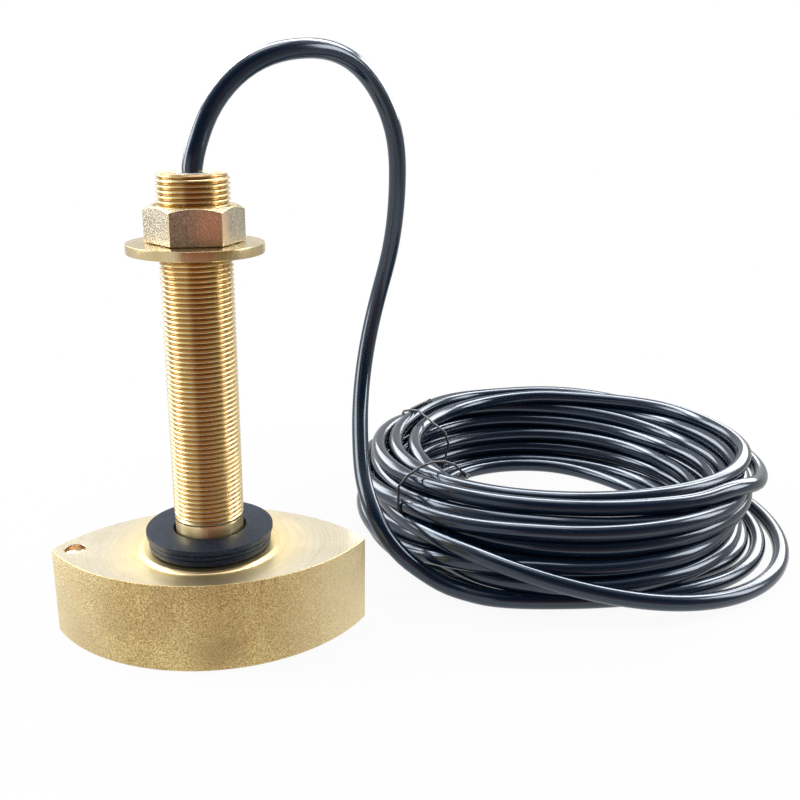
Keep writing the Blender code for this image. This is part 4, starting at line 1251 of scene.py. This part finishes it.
def surroundings(tree, x, y):
    """What shows in polished metal round the table: white screens, and a brown room in front."""
    turn = calculate(tree, "SUBTRACT", calculate(tree, "ARCTAN2", y, x), PHOTO_SIDE)
    facing = calculate(tree, "WRAP", turn, math.pi, -math.pi)
    behind, screen, side = (0.80, 0.80, 0.82), (0.94, 0.94, 0.96), (0.56, 0.55, 0.53)
    room, wall = (0.34, 0.155, 0.12), (0.26, 0.20, 0.13)
    return ramp(tree, remap(tree, facing, -math.pi, math.pi), (0.12, behind), (0.24, screen), (0.400, screen),
                (0.430, room), (0.575, room), (0.595, wall), (0.675, wall), (0.715, side), (0.84, side),
                (0.92, behind))


def light_path(tree):
    """The kinds of ray, and the share that comes from a reflection or through glass."""
    path = tree.nodes.new("ShaderNodeLightPath").outputs
    return path, calculate(tree, "MAXIMUM", path["Is Glossy Ray"], path["Is Transmission Ray"])


def make_floor():
    """A pale floor, nearly white to the lens, with a faint shadow left.

    Reflections see it as a white sheet under the part, and as the surroundings further off.
    """
    half = 4.0
    mesh = bpy.data.meshes.new("floor")
    mesh.from_pydata([(-half, -half, 0), (half, -half, 0), (half, half, 0), (-half, half, 0)], [],
                     [(0, 1, 2, 3)])
    floor = bpy.data.objects.new("floor", mesh)
    floor.location.z = -0.0002
    bpy.context.scene.collection.objects.link(floor)
    material, tree, _, place = new_material("floor paint", (0.86, 0.86, 0.86), 0.7,
                                            Specular_IOR_Level=0.1)
    floor.data.materials.append(material)
    path, reflected = light_path(tree)
    parts = separate(tree, place)
    distance = distance_from(tree, place, (0.10, 0.04, 0.0))
    sheet = blend_colours(tree, remap(tree, distance, 0.16, 0.23), (1.0, 1.0, 1.0),
                          surroundings(tree, parts[0], parts[1]))
    white = remap(tree, distance, 0.10, 0.24, 0.93, 1.0)
    share = add_node(tree, "ShaderNodeMix", {0: reflected, 2: white, 3: 0.85}).outputs[0]
    shown = calculate(tree, "MAXIMUM", path["Is Camera Ray"], reflected)
    glow = add_node(tree, "ShaderNodeEmission", {
        "Color": blend_colours(tree, reflected, (1, 1, 1), sheet), "Strength": 1.0})
    mixed = add_node(tree, "ShaderNodeMixShader", {0: calculate(tree, "MULTIPLY", shown, share)})
    tree.links.new(tree.nodes["Principled BSDF"].outputs[0], mixed.inputs[1])
    tree.links.new(glow.outputs[0], mixed.inputs[2])
    tree.links.new(mixed.outputs[0], tree.nodes["Material Output"].inputs["Surface"])


def make_room():
    """The studio: white to the lens, plain grey light, and the surroundings and ceiling in reflections."""
    world = bpy.data.worlds.new("studio")
    world.use_nodes = True
    bpy.context.scene.world = world
    tree = world.node_tree
    direction = tree.nodes.new("ShaderNodeTexCoord").outputs["Generated"]
    parts = separate(tree, direction)
    toward = add_node(tree, "ShaderNodeVectorMath", {
        0: direction, 1: (math.cos(PHOTO_SIDE), math.sin(PHOTO_SIDE), 0.0)},
        operation="DOT_PRODUCT").outputs["Value"]
    ceiling = ramp(tree, toward, (0.0, (0.80, 0.81, 0.84)), (0.30, (0.22, 0.22, 0.24)),
                   (0.6, (0.03, 0.03, 0.035)))
    around = surroundings(tree, parts[0], parts[1])
    room = blend_colours(tree, remap(tree, parts[2], 0.18, 0.50), around, ceiling)
    path, reflected = light_path(tree)
    lit = blend_colours(tree, reflected, (0.44, 0.45, 0.48), room)
    seen = blend_colours(tree, path["Is Camera Ray"], lit, (1.0, 1.0, 1.0))
    tree.links.new(seen, tree.nodes["Background"].inputs["Color"])


def hang_lamps(cable, ties):
    """Soft panels that light everything, and windows behind that only show as reflections.

    The metal doesn't see the brightest windows: they are for the cable and its ties.
    """
    polished = bpy.data.collections.new("lit by the cable's windows")
    for piece in (cable, *ties):
        polished.objects.link(piece)
    part, behind, coil = (0.10, 0.05, 0.05), (0.15, 0.08, 0.05), (0.16, 0.09, 0.03)
    for name, place, aim, size, power in (
            ("panel above", (0.10, 0.20, 1.30), part, (0.60, 0.60), 3.5),
            ("panel left", (-0.95, 0.10, 0.55), (0.05, 0.05, 0.10), (0.45, 0.70), 7.0),
            ("panel right", (1.15, -0.05, 0.55), (0.10, 0.05, 0.10), (0.35, 0.60), 5.0),
            ("window above", (0.10, 0.62, 1.15), part, (2.40, 0.40), 19.0),
            ("window behind left", (-0.75, 1.00, 0.60), behind, (0.60, 0.45), 2.0),
            ("window behind right", (1.15, 0.80, 0.60), behind, (0.60, 0.45), 2.5),
            ("cable window above", (0.16, 0.72, 1.10), coil, (2.60, 0.30), 24.0),
            ("cable window left", (-0.55, 1.00, 0.55), coil, (1.00, 0.50), 9.0),
            ("cable window right", (1.05, 0.95, 0.55), coil, (1.00, 0.50), 9.0)):
        data = bpy.data.lights.new(name, "AREA")
        data.shape = "RECTANGLE"
        data.size, data.size_y = size
        data.energy = power
        lamp = bpy.data.objects.new(name, data)
        lamp.location = place
        lamp.visible_diffuse = name.startswith("panel")
        if name.startswith("cable"):
            lamp.light_linking.receiver_collection = polished
        lamp.rotation_euler = (Vector(aim) - Vector(place)).to_track_quat("-Z", "Y").to_euler()
        bpy.context.scene.collection.objects.link(lamp)
    bpy.context.scene.view_settings.view_transform = "Standard"


def main():
    place_camera()
    make_floor()
    make_room()
    sweep, thread = round_sweep_tree(), thread_tree()
    tie_finish = coated("tie wire", (0.02, 0.02, 0.024), 0.35)
    finishes = {
        "cast": cast_bronze(),
        "faced": faced_bronze(),
        "thread": cut_thread_bronze(),
        "shaded_hole": shaded_hole_bronze(),
        "washer": turned_bronze(),
        "rubber": black_rubber(),
        "seal": seal_resin(),
        "sleeve": coated("shrink sleeve", (0.022, 0.022, 0.024), 0.45),
        "signal_core": coated("end core signal", (0.50, 0.04, 0.03), 0.35),
        "return_core": coated("end core return", (0.03, 0.03, 0.03), 0.35),
        "screen": bright_wire("tinned screen", (0.72, 0.71, 0.68), 0.28),
    }

    wall = COIL_INNER_RADIUS - END_SLEEVE_RADIUS - GAP
    tail = smooth_line([around_coil(wall - off, turn, END_SLEEVE_RADIUS) for turn, off in TAIL_ROUTE], 0.002)
    coil = wound_coil()
    cable, line = make_cable(sweep, cable_jacket(), tail, coil)
    ties = [make_tie(name, sweep, tie_finish, coil, **shape) for name, shape in TIES.items()]
    far_end = make_far_end(sweep, finishes, tail)

    hang_lamps(cable, ties)
    make_housing(thread, finishes)
    make_nut(cast_nut_bronze(), worn_and_highlighted_edge_bronze())
    make_turned_pieces(finishes)

    solder = bright_wire("solder", (0.66, 0.66, 0.67), 0.25)
    for node, finish in {
        "acoustic_window": coated("moulded window", (0.05, 0.05, 0.052), 0.42, 1800.0, 0.00008),
        "ceramic_disc": silvered_ceramic(),
        "cork_backing": cork(),
        "cork_sleeve": bpy.data.materials["cork"],
        "resin_block": coated("potting resin", (0.28, 0.22, 0.12), 0.28, 700.0),
        "return_solder": solder,
        "signal_solder": solder,
        "return_wire": coated("return insulation", (0.03, 0.03, 0.03), 0.38),
        "signal_wire": coated("signal insulation", (0.50, 0.04, 0.03), 0.38),
        "stem_cable": coated("stem cable jacket", (0.018, 0.022, 0.036), 0.2),
    }.items():
        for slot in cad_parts[node].material_slots:
            slot.material = finish


main()
